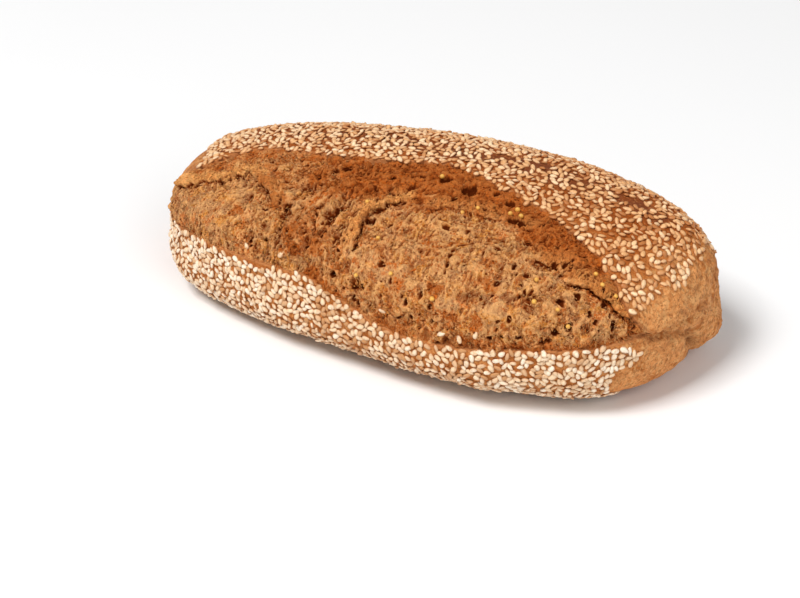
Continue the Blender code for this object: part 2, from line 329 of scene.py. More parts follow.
@dataclass(frozen=True)
class LoafForm:
    """The plain loaf before it tore, and the two lips of the tear."""

    length: float = 257.0
    front_width: float = 85.0
    back_width: float = 48.0
    height: float = 69.8
    broadest_height: float = 35.0
    tip_height: float = 25.5
    ridge_y: float = 19.6
    base_sink: float = 2.5
    shift_x: float = 0.5
    front_taper: float = 0.06
    back_taper: float = 0.09
    height_taper: float = 0.125
    front_fullness: float = 2.4
    back_fullness: float = 1.8
    base_fullness: float = 3.4
    front_fade: Pair = (3.3, 2.2)
    back_fade: Pair = (2.2, 1.8)
    height_fade: Pair = (2.1, 3.1)
    base_fade: Pair = (5.0, 3.0)
    upper_lip: tuple[Pair, ...] = (
        (-127, 166), (-118, 146), (-110, 131), (-103, 120), (-95, 112), (-86, 108),
        (-69, 105.5), (-44, 106), (-22, 105), (-8, 102), (12, 100), (26, 103), (40, 106),
        (56, 109.5), (70, 113.5), (83, 118.5), (94, 125), (103, 134), (110, 146), (118, 170),
    )
    lower_lip: tuple[Pair, ...] = (
        (-127, 168), (-118, 181), (-103, 180), (-81, 172), (-50, 172), (-21, 170),
        (-7, 178), (9, 187), (30, 193), (49, 190), (78, 182), (104, 177), (118, 170),
    )
    lip_raggedness: float = 0.016
    lip_rag_size: float = 5.0
    lip_samples: int = 257
    lip_rounding: int = 13
    lip_closing: float = 4.0

    def fade(self, station: Array, shape: Pair) -> Array:
        """Fall from one at the middle to zero at the tips.

        Args:
            station: -1 to 1 along the loaf.
            shape: the power p along the loaf and the fullness q.

        Returns:
            (1 - |station|^p)^(1/q).
        """
        return np.clip(1.0 - np.abs(station) ** shape[0], 0.0, 1.0) ** (1.0 / shape[1])

    def plain(self, x: Array, turn: Array) -> Array:
        """Work out points of the plain loaf.

        Each cross-section is a superellipse in three quarters, |cos|^n + |sin|^n = 1
        stretched to the widths and heights at that station.

        Args:
            x: millimetres along the loaf.
            turn: section angles in radians.

        Returns:
            The points in millimetres.
        """
        station = np.clip(x / (self.length / 2), -1.0, 1.0)
        front = self.front_width * (1 + self.front_taper * station)
        front = front * self.fade(station, self.front_fade)
        back = self.back_width * (1 + self.back_taper * station)
        back = back * self.fade(station, self.back_fade)
        rise = self.fade(station, self.height_fade)
        crown = self.height * (1 + self.height_taper * station)
        top = self.tip_height + (crown - self.tip_height) * rise
        middle = self.tip_height + (self.broadest_height - self.tip_height) * rise
        sink = (self.tip_height + self.base_sink) * self.fade(station, self.base_fade)
        bottom = self.tip_height - sink
        across, up = np.cos(turn), np.sin(turn)
        upper = np.where(across > 0, self.back_fullness, self.front_fullness)
        power = np.where(up > 0, upper, self.base_fullness)
        radius = (np.abs(across) ** power + np.abs(up) ** power) ** (-1.0 / power)
        y = self.ridge_y + radius * across * np.where(across > 0, back, front)
        z = middle + radius * up * np.where(up > 0, top - middle, middle - bottom)
        return np.stack(np.broadcast_arrays(x + self.shift_x, y, z), axis=-1)

    def directions(self, x: Array, turn: Array) -> tuple[Array, Array]:
        """Find the directions of the plain loaf's surface.

        Both come from the differences of the plain loaf a small step to each side.

        Args:
            x: millimetres along the loaf.
            turn: section angles in radians.

        Returns:
            The outward normals, and the tangents in the sense of growing turn.
        """
        limit = self.length / 2 - 0.6
        inner = np.clip(x, -limit, limit)
        along = self.plain(inner + 0.5, turn) - self.plain(inner - 0.5, turn)
        around = self.plain(inner, turn + 0.01) - self.plain(inner, turn - 0.01)
        return unit(np.cross(around, along)), unit(around)

    def lip(self, lip: tuple[Pair, ...], x: Array) -> Array:
        """Read a lip, without its raggedness.

        It is the line through its corners, rounded by a sliding mean.

        Args:
            lip: the lip's (x, turn in degrees) corners.
            x: millimetres along the loaf.

        Returns:
            The section angle in radians at each x.
        """
        along, turn = np.array(lip, dtype=float).T
        dense = np.linspace(along[0], along[-1], self.lip_samples)
        rough = np.interp(dense, along, turn)
        kernel = np.hanning(self.lip_rounding)
        padded = np.pad(rough, self.lip_rounding // 2, mode="edge")
        rounded = np.convolve(padded, kernel / kernel.sum(), mode="valid")
        return np.radians(np.interp(x, dense, rounded))

    def lips(self, x: Array) -> tuple[Array, Array]:
        """Find the ragged upper and lower lips.

        They meet exactly at the tear's ends and beyond, where the opening is nothing.
        Two sizes of noise along the loaf make each lip ragged.

        Args:
            x: millimetres along the loaf.

        Returns:
            The section angles of the upper and the lower lip in radians.
        """
        upper, lower = self.lip(self.upper_lip, x), self.lip(self.lower_lip, x)
        first, last = self.upper_lip[0][0], self.upper_lip[-1][0]
        share = smooth_step(first, first + self.lip_closing, x)
        share *= smooth_step(last, last - self.lip_closing, x)
        half = np.maximum(lower - upper, 0.0) / 2 * share
        middle = (upper + lower) / 2
        line = np.stack([x, np.zeros_like(x), np.zeros_like(x)], axis=-1)
        loose = smooth_step(0.0, 0.2, half)
        sizes = (self.lip_rag_size, self.lip_rag_size * 0.35)
        rags = [
            sum(Noise(seed + 2 * k).layered(line, size, 2) * 0.6 ** k
                for k, size in enumerate(sizes)) * self.lip_raggedness * loose
            for seed in LIP_SEEDS
        ]
        return middle - half + rags[0], middle + half + rags[1]

    def path(self, places: tuple[Pair, ...]) -> Array:
        """Return the points on the plain loaf of (x, turn in degrees) places."""
        x, turn = np.array(places, dtype=float).T
        return self.plain(x, np.radians(turn))


@dataclass
class Trail:
    """Where points lie beside a path: how far off, on which side, and how far along."""

    points: Array
    path: Array
    gap: Array = field(init=False)
    along: Array = field(init=False)
    run: Array = field(init=False)
    offset: Array = field(init=False)

    def __post_init__(self) -> None:
        """Find the nearest stretch of the path for each point.

        For each straight stretch the foot of the point is the start plus the share,
        held between 0 and 1, of the run that the point's projection covers.
        """
        self.gap = np.full(self.points.shape[:-1], np.inf)
        self.along = np.zeros_like(self.gap)
        self.run = np.zeros_like(self.points)
        self.offset = np.zeros_like(self.points)
        lengths = np.linalg.norm(np.diff(self.path, axis=0), axis=-1)
        starts = np.concatenate([[0.0], np.cumsum(lengths)]) / lengths.sum()
        for index, (start, end) in enumerate(zip(self.path[:-1], self.path[1:])):
            run = end - start
            share = np.clip((self.points - start) @ run / (run @ run), 0.0, 1.0)
            offset = self.points - (start + share[..., None] * run)
            gap = np.linalg.norm(offset, axis=-1)
            nearer = gap < self.gap
            self.gap = np.where(nearer, gap, self.gap)
            reached = starts[index] + share * (starts[index + 1] - starts[index])
            self.along = np.where(nearer, reached, self.along)
            self.run[nearer] = run / np.linalg.norm(run)
            self.offset[nearer] = offset[nearer]


@dataclass(frozen=True)
class Fold:
    """A raised strand, or a torn groove where height is negative, along a path."""

    path: tuple[Pair, ...]
    half_width: float
    height: float


@dataclass(frozen=True)
class Flap:
    """A torn edge that rises on one side and overhangs a crevice on the other.

    The raised side is to the left of the path, seen from outside. Lean is how far the
    edge hangs over the crevice, opening how wide the crevice is, and rag how ragged.
    """

    path: tuple[Pair, ...]
    rise: float
    reach: float
    depth: float
    opening: float
    lean: float
    rag: float = 1.0


@dataclass
class Move:
    """How far each point of the plain loaf moves, and what the move does to it."""

    height: Array
    shift: Array
    groove: Array
    calm: Array
    browned: Array
    edge: Array


@dataclass(frozen=True)
class Swell:
    """A rounded swelling about one place on the crust."""

    place: Pair
    reach_along: float
    reach_across: float
    height: float

    def offsets(self, points: Array, form: LoafForm) -> tuple[Array, Array]:
        """Measure how far points lie from its place.

        Args:
            points: places on the plain loaf or close to it.
            form: the plain loaf.

        Returns:
            The distances along and across the loaf, each as a share of its reach.
        """
        offset = points - form.path((self.place,))[0]
        across = np.linalg.norm(offset[..., 1:], axis=-1) / self.reach_across
        return offset[..., 0] / self.reach_along, across


@dataclass(frozen=True)
class Patch:
    """A soft patch of the surface, x and turn in degrees being its middle.

    Reach is its half width in millimetres along x, and spread in radians of turn.
    Weight is what it adds in its middle.
    """

    x: float
    reach: float
    turn: float
    spread: float
    weight: float = 1.0

    def share(self, x: Array, turn: Array) -> Array:
        """Return the weight in the middle of the patch, falling as a bell both ways."""
        around = bell(turn - math.radians(self.turn), self.spread)
        return self.weight * (bell(x - self.x, self.reach) * around)


@dataclass(frozen=True)
class Pore:
    """A hole left by a large bubble in the crumb, its place in x and degrees of turn."""

    x: float
    turn: float
    radius: float
    depth: float
    stretch: float = 1.0


class Shape(Enum):
    """The parts of the relief that the crust and the crumb share."""

    EAR = Flap(
        ((-120, 150), (-113, 146), (-107, 142), (-102, 139.5), (-95.5, 135.6), (-89.7, 132.3),
         (-84, 129), (-80.5, 125), (-78, 122.8), (-73.5, 122.8), (-69, 125), (-61, 127.8),
         (-57, 130.5), (-54, 134.7), (-53, 140)),
        2.4, 6.0, 3.2, 2.2, 1.4, 1.3,
    )
    STRAND = Flap(
        ((-2, 150), (-2, 144), (-4, 138), (-5, 133), (-3, 129), (-1, 125.5), (3, 122), (10, 122)),
        2.6, 3.2, 3.4, 2.0, 1.4, 0.9,
    )
    SKIRT = Flap(((14, 123), (22, 121), (32, 120), (42, 119), (52, 120)), 0.6, 4.0, 1.2, 2.2, 0.9)
    RIGHT = Flap(
        ((84, 137), (91, 138), (98, 141), (105, 145), (111, 152), (114, 161), (117, 170)),
        1.0, 4.0, 3.8, 2.4, 1.5,
    )
    UPPER = Flap(((51, 119), (58, 120), (66, 121)), 0.5, 3.0, 3.0, 1.6, 1.2)
    HOLLOW = Flap(((68, 133), (74, 132), (81, 133), (86, 137)), 0.5, 3.0, 2.0, 1.8, 0.9)
    LEFT_EDGE = Fold(((-94, 166), (-74, 164), (-56, 160), (-46, 163), (-36, 170)), 1.8, -1.2)
    RIB = Fold(((-26, 120), (-29, 133), (-33, 148)), 4.0, 1.6)
    RIB_VALLEY = Fold(((-40, 124), (-43, 136), (-39, 150)), 3.0, -1.7)
    INNER_VALLEY = Fold(((-18, 126), (-20, 139), (-25, 154)), 2.6, -1.5)
    STRAND_BACK = Fold(((-14, 131), (-13, 139), (-11, 147)), 2.6, -1.8)
    CRUMB_CREASE = Fold(((52, 156), (70, 152), (80, 149), (94, 147)), 1.8, -1.6)
    END_CREASE = Fold(((113, 168), (119, 175), (124, 178), (126, 187), (127, 225)), 1.5, -2.8)
    END_WRINKLE = Fold(((121, 172), (124, 166), (127, 160), (127.6, 140), (127, 115)), 1.3, -1.3)
    END_NOTCH = Fold(((127, 210), (126, 240), (118, 255)), 4.0, -3.0)
    FRONT_FOOT = Fold(((-90, 212), (-10, 210), (60, 208)), 11.0, 2.0)
    LEFT_BULGE = Swell((-78, 151), 20.0, 15.0, 2.5)
    MIDDLE_BULGE = Swell((34, 146), 42.0, 22.0, 3.5)
    RIGHT_BULGE = Swell((84, 160), 22.0, 14.0, 1.5)
    LEFT_FOOT = Swell((-102, 212), 30.0, 13.0, 3.5)
    BACK_LOBE = Swell((127, 300), 11.0, 11.0, 2.4)
    END_DENT = Swell((128, 55), 7.0, 15.0, -2.0)


@dataclass(frozen=True)
class Relief:
    """Everything that moves the plain loaf's surface in or out.

    The tearings are each the size of a noise and how far it moves points, in millimetres.
    """

    form: LoafForm
    base_margin: float = 5.0
    wave_height: float = 0.6
    wave_size: float = 38.0
    tearing: Pair = (6.0, 1.8)
    fine_tearing: Pair = (2.6, 0.6)
    gaping_size: float = 7.0
    flap_fade: float = 0.16
    edge_width: float = 1.7
    calm_width: float = 1.6
    browned_width: float = 4.0

    def shared(self, points: Array, normals: Array) -> Move:
        """Work out the folds, flaps and swells that the crust and the crumb share.

        A fold adds its height times a bell of the distance to its path, and a swell its
        height times a bell of the distance to its place. A flap rises towards its path
        on the left and drops to its depth just across it, then comes back up as an
        exponential of the distance. Ragged edges come from moving the points first.

        Args:
            points: places on the plain loaf.
            normals: outward unit normals there.

        Returns:
            The height along the normal, the sideways shift, the depth of grooves, how
            smooth a flap's edge keeps the surface, how browned it is, and its crest.
        """
        height = self.wave_height * WAVES.layered(points, self.wave_size, 2)
        move = Move(height, np.zeros_like(points), *(0 * height for _ in range(4)))
        ragged = FINE_TEARING.warp(TEARING.warp(points, *self.tearing), *self.fine_tearing)
        ragged = ragged - points
        uneven = GAPING.smooth(points, self.gaping_size)
        for shape in Shape:
            form = shape.value
            if isinstance(form, Swell):
                along, across = form.offsets(points, self.form)
                move.height += form.height * np.exp(-along ** 2 - across ** 2)
                continue
            rag = form.rag if isinstance(form, Flap) else 1.0
            trail = Trail(points + rag * ragged, self.form.path(form.path))
            if isinstance(form, Fold):
                share = bell(trail.gap, form.half_width)
                move.height += form.height * share
                move.groove += max(-form.height, 0.0) * share
                continue
            left = np.cross(normals, trail.run)
            beside = np.where((trail.offset * left).sum(axis=-1) > 0, 1.0, -1.0) * trail.gap
            whole = smooth_step(0.0, self.flap_fade, trail.along)
            whole = whole * smooth_step(1.0, 1.0 - self.flap_fade, trail.along)
            over = smooth_step(-1.4, 0.6, beside)
            drop = np.exp(-(np.abs(beside) / form.opening) ** 1.4) * whole * (1 - over)
            drop *= np.clip(0.75 + 0.75 * form.rag * uneven, 0.2, 1.4)
            move.height += form.rise * bell(trail.gap, form.reach) * whole * over
            move.height -= form.depth * drop
            move.groove += form.depth * drop
            edge = bell(beside, self.edge_width) * over * whole
            move.shift -= left * (form.lean * edge)[..., None]
            calm = bell(beside, self.calm_width) * whole * max(1 - 0.7 * form.rag, 0.0)
            move.calm = np.maximum(move.calm, calm)
            browned = bell(beside - 2.0, self.browned_width) * whole
            move.browned = np.maximum(move.browned, browned)
            crest = bell(beside - 2.4, self.browned_width) * over * whole * min(form.rise / 2, 1)
            move.edge = np.maximum(move.edge, crest)
        return move

    def ground_share(self, points: Array) -> Array:
        """Return how much of the relief stays: all of it, but none at the base."""
        return np.clip(points[..., 2] / self.base_margin, 0.0, 1.0)


# ---- meshes from arrays


def ring_faces(rings: int, columns: int) -> tuple[Array, Array, Array]:
    """Join rings of points, and each end ring to a point of its own.

    Args:
        rings: how many rings there are, their points numbered ring by ring.
        columns: how many points each has. The two end points come after them.

    Returns:
        The four corners of the side faces, and the three of the first and last ends'.
    """
    index = np.arange(rings * columns).reshape(rings, columns)
    after = np.roll(index, -1, axis=1)
    sides = np.stack([index[:-1], after[:-1], after[1:], index[1:]], axis=-1).reshape(-1, 4)
    end = np.full(columns, rings * columns)
    low = np.stack([end, after[0], index[0]], axis=-1)
    return sides, low, np.stack([end + 1, index[-1], after[-1]], axis=-1)


def make_tube(name: str, grid: Array) -> bpy.types.Object:
    """Make a closed mesh from rings of points, with a point at the middle of each end.

    The end rings are sharp, so that tubes which meet at a ring are shaded as one.

    Args:
        name: the piece's name.
        grid: rings by columns by 3, in millimetres; each ring closes on itself, and
            its columns run clockwise seen from the +X end.

    Returns:
        The new object, at the origin.
    """
    rings, columns = grid.shape[:2]
    ends = np.stack([grid[0].mean(axis=0), grid[-1].mean(axis=0)])
    points = np.concatenate([grid.reshape(-1, 3), ends]) * MM
    quads, low, high = ring_faces(rings, columns)
    loops = np.concatenate([quads.ravel(), low.ravel(), high.ravel()])
    sizes = np.concatenate([np.full(len(quads), 4), np.full(2 * columns, 3)])
    item = make_object(name, points, loops, sizes)
    edges = np.empty(2 * len(item.data.edges), dtype=np.int32)
    item.data.edges.foreach_get("vertices", edges)
    ring = edges.reshape(-1, 2) // columns
    sharp = (ring[:, 0] == ring[:, 1]) & np.isin(ring[:, 0], (0, rings - 1))
    attribute = item.data.attributes.new("sharp_edge", "BOOLEAN", "EDGE")
    attribute.data.foreach_set("value", sharp)
    return item


def make_object(name: str, points: Array, loops: Array, sizes: Array) -> bpy.types.Object:
    """Make a smooth-shaded mesh, and link it to the scene.

    Args:
        name: the piece's name.
        points: its vertices in metres.
        loops: the vertices at the faces' corners, face after face.
        sizes: how many corners each face has.

    Returns:
        The new object, at the origin.
    """
    mesh = bpy.data.meshes.new(name)
    mesh.vertices.add(len(points))
    mesh.vertices.foreach_set("co", points.astype(np.float32).ravel())
    mesh.loops.add(len(loops))
    mesh.loops.foreach_set("vertex_index", loops.astype(np.int32))
    mesh.polygons.add(len(sizes))
    starts = np.concatenate([[0], np.cumsum(sizes)[:-1]])
    mesh.polygons.foreach_set("loop_start", starts.astype(np.int32))
    mesh.update(calc_edges=True)
    mesh.validate()
    mesh.shade_smooth()
    item = bpy.data.objects.new(name, mesh)
    bpy.context.scene.collection.objects.link(item)
    return item


def set_attribute(item: bpy.types.Object, name: str, values: Array) -> None:
    """Store one number for each vertex of a piece, for its material to read."""
    attribute = item.data.attributes.new(name, "FLOAT", "POINT")
    attribute.data.foreach_set("value", values.astype(np.float32).ravel())


def close_seams(item: bpy.types.Object, distance: float = 2e-6) -> None:
    """Join the vertices that coincide, where a tear closes to nothing.

    Args:
        item: the piece.
        distance: how near, in metres, vertices count as one.
    """
    bm = bmesh.new()
    bm.from_mesh(item.data)
    bmesh.ops.remove_doubles(bm, verts=bm.verts, dist=distance)
    bm.to_mesh(item.data)
    bm.free()


def add_ends(values: Array) -> Array:
    """Return a grid of values as a row, with the two end points' values after it."""
    return np.concatenate([values.ravel(), [values[0].mean(), values[-1].mean()]])


# ---- finishes

# What X, Y and Z are multiplied by for the crumb's coarse and fine fibres, which run
# across the loaf.
FIBRE_STRETCH = (1.2, 0.8, 0.8)
FINE_STRETCH = (1.3, 0.8, 0.8)


@dataclass
class Bench:
    """A material's nodes, and short ways to add more of them."""

    material: bpy.types.Material
    nodes: bpy.types.Nodes = field(init=False)
    links: bpy.types.NodeLinks = field(init=False)

    def __post_init__(self) -> None:
        """Start from an empty node tree."""
        self.material.use_nodes = True
        self.nodes = self.material.node_tree.nodes
        self.links = self.material.node_tree.links
        self.nodes.clear()

    def add(self, kind: str, inputs: dict[object, object],
            **options: object) -> bpy.types.Node:
        """Add a node.

        Args:
            kind: the node's type, without the words ShaderNode.
            inputs: what its inputs are fed, by name or number: another node's output to
                link, or a number, vector or colour to set.
            options: its own settings.

        Returns:
            The node.
        """
        node = self.nodes.new("ShaderNode" + kind)
        for name, value in options.items():
            setattr(node, name, value)
        for name, value in inputs.items():
            socket = node.inputs[name]
            if isinstance(value, bpy.types.NodeSocket):
                self.links.new(value, socket)
            elif isinstance(value, tuple) and len(value) == 3 and socket.type == "RGBA":
                socket.default_value = (*value, 1.0)
            else:
                socket.default_value = value
        return node

    def attribute(self, name: str) -> bpy.types.NodeSocket:
        """Read a number stored at the vertices."""
        return self.add("Attribute", {}, attribute_name=name).outputs["Fac"]

    def place(self, start: float, stretch: Triple = (1.0, 1.0, 1.0),
              sway: float = 0.0) -> bpy.types.NodeSocket:
        """Read the place in the loaf, for a texture.

        Args:
            start: how far the texture is shifted, so that two of them differ.
            stretch: what X, Y and Z are multiplied by.
            sway: how many millimetres noise moves the place about.

        Returns:
            The place, as a vector.
        """
        source = self.add("TexCoord", {}).outputs["Object"]
        inputs = {"Vector": source, "Location": (start, start, start), "Scale": stretch}
        place = self.add("Mapping", inputs).outputs["Vector"]
        if not sway:
            return place
        noise = self.add("TexNoise", {"Vector": place, "Scale": 1.0 / (3.0 * sway * MM)})
        inputs = {0: noise.outputs["Color"], 1: (2 * sway * MM,) * 3, 2: place}
        return self.add("VectorMath", inputs, operation="MULTIPLY_ADD").outputs["Vector"]

    def noise(self, size: float, detail: float = 3.0, roughness: float = 0.55,
              start: float = 0.0, stretch: Triple = (1.0, 1.0, 1.0)) -> bpy.types.NodeSocket:
        """Add noise whose lumps have the given size in millimetres."""
        inputs = {"Vector": self.place(start, stretch), "Scale": 1.0 / (size * MM)}
        inputs.update({"Detail": detail, "Roughness": roughness})
        return self.add("TexNoise", inputs).outputs["Fac"]

    def foam(self, size: float, start: float, feature: str = "F1") -> bpy.types.Node:
        """Add a foam of cells of the given size in millimetres, swayed by noise."""
        inputs = {"Vector": self.place(start, sway=FOAM_SWAY), "Scale": 1.0 / (size * MM)}
        return self.add("TexVoronoi", inputs, feature=feature)

    def walls(self, size: float, start: float, width: float) -> bpy.types.NodeSocket:
        """Add the thin walls of a foam: 1 on them, and 0 from width of a cell inwards."""
        node = self.foam(size, start, "DISTANCE_TO_EDGE")
        return self.step(node.outputs["Distance"], width, 0.0)

    def specks(self, size: float, start: float, chance: float,
               radius: float) -> bpy.types.NodeSocket:
        """Add round specks in some of a foam's cells.

        Args:
            size: the size of the cells in millimetres.
            start: how far the foam is shifted.
            chance: the share of the cells that have a speck.
            radius: the radius of a speck, in cells.

        Returns:
            1 in the specks, and 0 between them.
        """
        node = self.foam(size, start)
        split = self.add("SeparateColor", {"Color": node.outputs["Color"]})
        picked = self.step(split.outputs["Red"], 1.0 - chance, 1.0 + SPECK_EDGE - chance)
        inner = radius * SPECK_CORE
        return self.math("MULTIPLY", picked, self.step(node.outputs["Distance"], radius, inner))

    def threads(self, size: float, start: float, width: float) -> bpy.types.NodeSocket:
        """Add thin wandering lines: 1 where noise is within width of its middle."""
        offset = self.math("SUBTRACT", self.noise(size, 3.0, 0.6, start), 0.5)
        return self.step(self.math("ABSOLUTE", offset), width, 0.0)

    def spots(self, size: float, start: float, low: float, high: float,
              most: float) -> bpy.types.NodeSocket:
        """Add a share that rises from 0 to most where noise goes from low to high."""
        noise = self.noise(size, 4.0, 0.6, start)
        return self.math("MULTIPLY", self.step(noise, low, high), most)

    def step(self, value: object, low: float, high: float) -> bpy.types.NodeSocket:
        """Map low to high onto 0 to 1, smoothly and held at the ends."""
        inputs = {"Value": value, "From Min": low, "From Max": high}
        return self.add("MapRange", inputs, interpolation_type="SMOOTHSTEP").outputs["Result"]

    def math(self, operation: str, first: object, second: object = 0.0) -> bpy.types.NodeSocket:
        """Add one step of arithmetic on one or two numbers, and return its result."""
        return self.add("Math", {0: first, 1: second}, operation=operation).outputs[0]

    def mix(self, share: object, first: object, second: object) -> bpy.types.NodeSocket:
        """Mix two colours: share is how much there is of the second, from 0 to 1."""
        inputs = {"Factor": share, MIX_FIRST: first, MIX_SECOND: second}
        return self.add("Mix", inputs, data_type="RGBA").outputs[MIX_RESULT]

    def lay(self, color: object, tint: object, share: object,
            most: object = None) -> bpy.types.NodeSocket:
        """Lay a tint over a colour.

        Args:
            color: what lies below.
            tint: what is laid over it.
            share: how much of the tint there is, from 0 to 1.
            most: what the share is multiplied by, if anything.

        Returns:
            The mixed colour.
        """
        if most is not None:
            share = self.math("MULTIPLY", share, most)
        return self.mix(share, color, tint)

    def bump(self, height: object, distance: float, strength: float,
             before: object = None) -> bpy.types.NodeSocket:
        """Turn a height into a bump.

        Args:
            height: the height, from 0 to 1.
            distance: the millimetres that a height of 1 stands for.
            strength: how much of the bump shows.
            before: the normal of another bump that lies below, if any.

        Returns:
            The bumped normal.
        """
        inputs = {"Height": height, "Distance": distance * MM, "Strength": strength}
        if before is not None:
            inputs["Normal"] = before
        return self.add("Bump", inputs).outputs["Normal"]

    def finish(self, color: object, roughness: object, normal: object = None,
               **constants: object) -> bpy.types.Material:
        """Add the Principled shader and the output.

        Args:
            color: the base colour.
            roughness: the roughness.
            normal: the bumped normal, if any.
            constants: the shader's other inputs, with _ for each space in a name.

        Returns:
            The material.
        """
        inputs = {name.replace("_", " "): value for name, value in constants.items()}
        inputs.update({"Base Color": color, "Roughness": roughness})
        if normal is not None:
            inputs["Normal"] = normal
        shader = self.add("BsdfPrincipled", inputs)
        self.add("OutputMaterial", {"Surface": shader.outputs["BSDF"]})
        return self.material


@dataclass(frozen=True)
class CrustFinish:
    """Baked crust: tan where it was shaded, dark at the ridge, flecked with bran."""

    pale: Color = (0.77, 0.33, 0.110)
    tan: Color = (0.48, 0.150, 0.032)
    red: Color = (0.36, 0.086, 0.013)
    dark: Color = (0.19, 0.050, 0.018)
    bran: Color = (0.20, 0.050, 0.010)
    amber: Color = (0.46, 0.135, 0.024)
    flour: Color = (0.84, 0.46, 0.18)
    torn: Color = (0.50, 0.190, 0.062)
    # hollow darkens the dark grit, and is the painted shade of the grooves, the trench and the
    # end's folds.
    hollow: Color = (0.110, 0.030, 0.008)

    def material(self) -> bpy.types.Material:
        """Build it: bake mixes pale, tan, red and dark; torn shows the broken edge.

        Returns:
            The material.
        """
        bench = Bench(bpy.data.materials.new("baked_crust"))
        patch = bench.math("SUBTRACT", bench.noise(9.0, 4.0), 0.5)
        bake = bench.math("ADD", bench.attribute("bake"), bench.math("MULTIPLY", patch, 0.6))
        color = bench.lay(self.pale, self.tan, bench.step(bake, 0.05, 0.35))
        color = bench.lay(color, self.red, bench.step(bake, 0.35, 0.65))
        color = bench.lay(color, self.dark, bench.step(bake, 0.75, 1.0))
        light = bench.step(bench.attribute("bake"), 0.5, 0.15)
        for size, start, low, most, tint in (
            (7.0, 1.0, 0.50, 0.9, self.amber), (4.0, 4.0, 0.50, 0.5, self.flour),
            (1.4, 0.0, 0.50, 0.6, self.flour), (9.0, 8.0, 0.52, 0.35, self.red),
            (2.4, 9.0, 0.53, 0.45, self.amber),
        ):
            color = bench.lay(color, tint, bench.spots(size, start, low, low + 0.14, most), light)
        color = bench.lay(color, self.bran, bench.spots(1.6, 2.0, 0.52, 0.66, 0.5))
        color = bench.lay(color, self.torn, bench.attribute("torn"))
        grit = bench.noise(1.2, 4.0, 0.66, 5.0)
        color = bench.lay(color, self.pale, bench.step(grit, 0.54, 0.66), 0.4)
        color = bench.lay(color, self.hollow, bench.step(grit, 0.46, 0.35), 0.45)
        color = bench.lay(color, self.bran, bench.threads(7.0, 6.0, 0.010), 0.6)
        # Painted shade in the grooves, the trench and the valleys of the end's folds.
        color = bench.lay(color, self.hollow, bench.attribute("cavity"))
        rough = bench.math("SUBTRACT", 0.66, bench.math("MULTIPLY", bench.attribute("bake"), 0.16))
        normal = bench.bump(bench.noise(2.4, 5.0, 0.68), 1.0, 1.0)
        normal = bench.bump(bench.noise(0.7, 4.0, 0.6), 0.2, 0.8, normal)
        return bench.finish(color, rough, normal, Specular_IOR_Level=0.08)


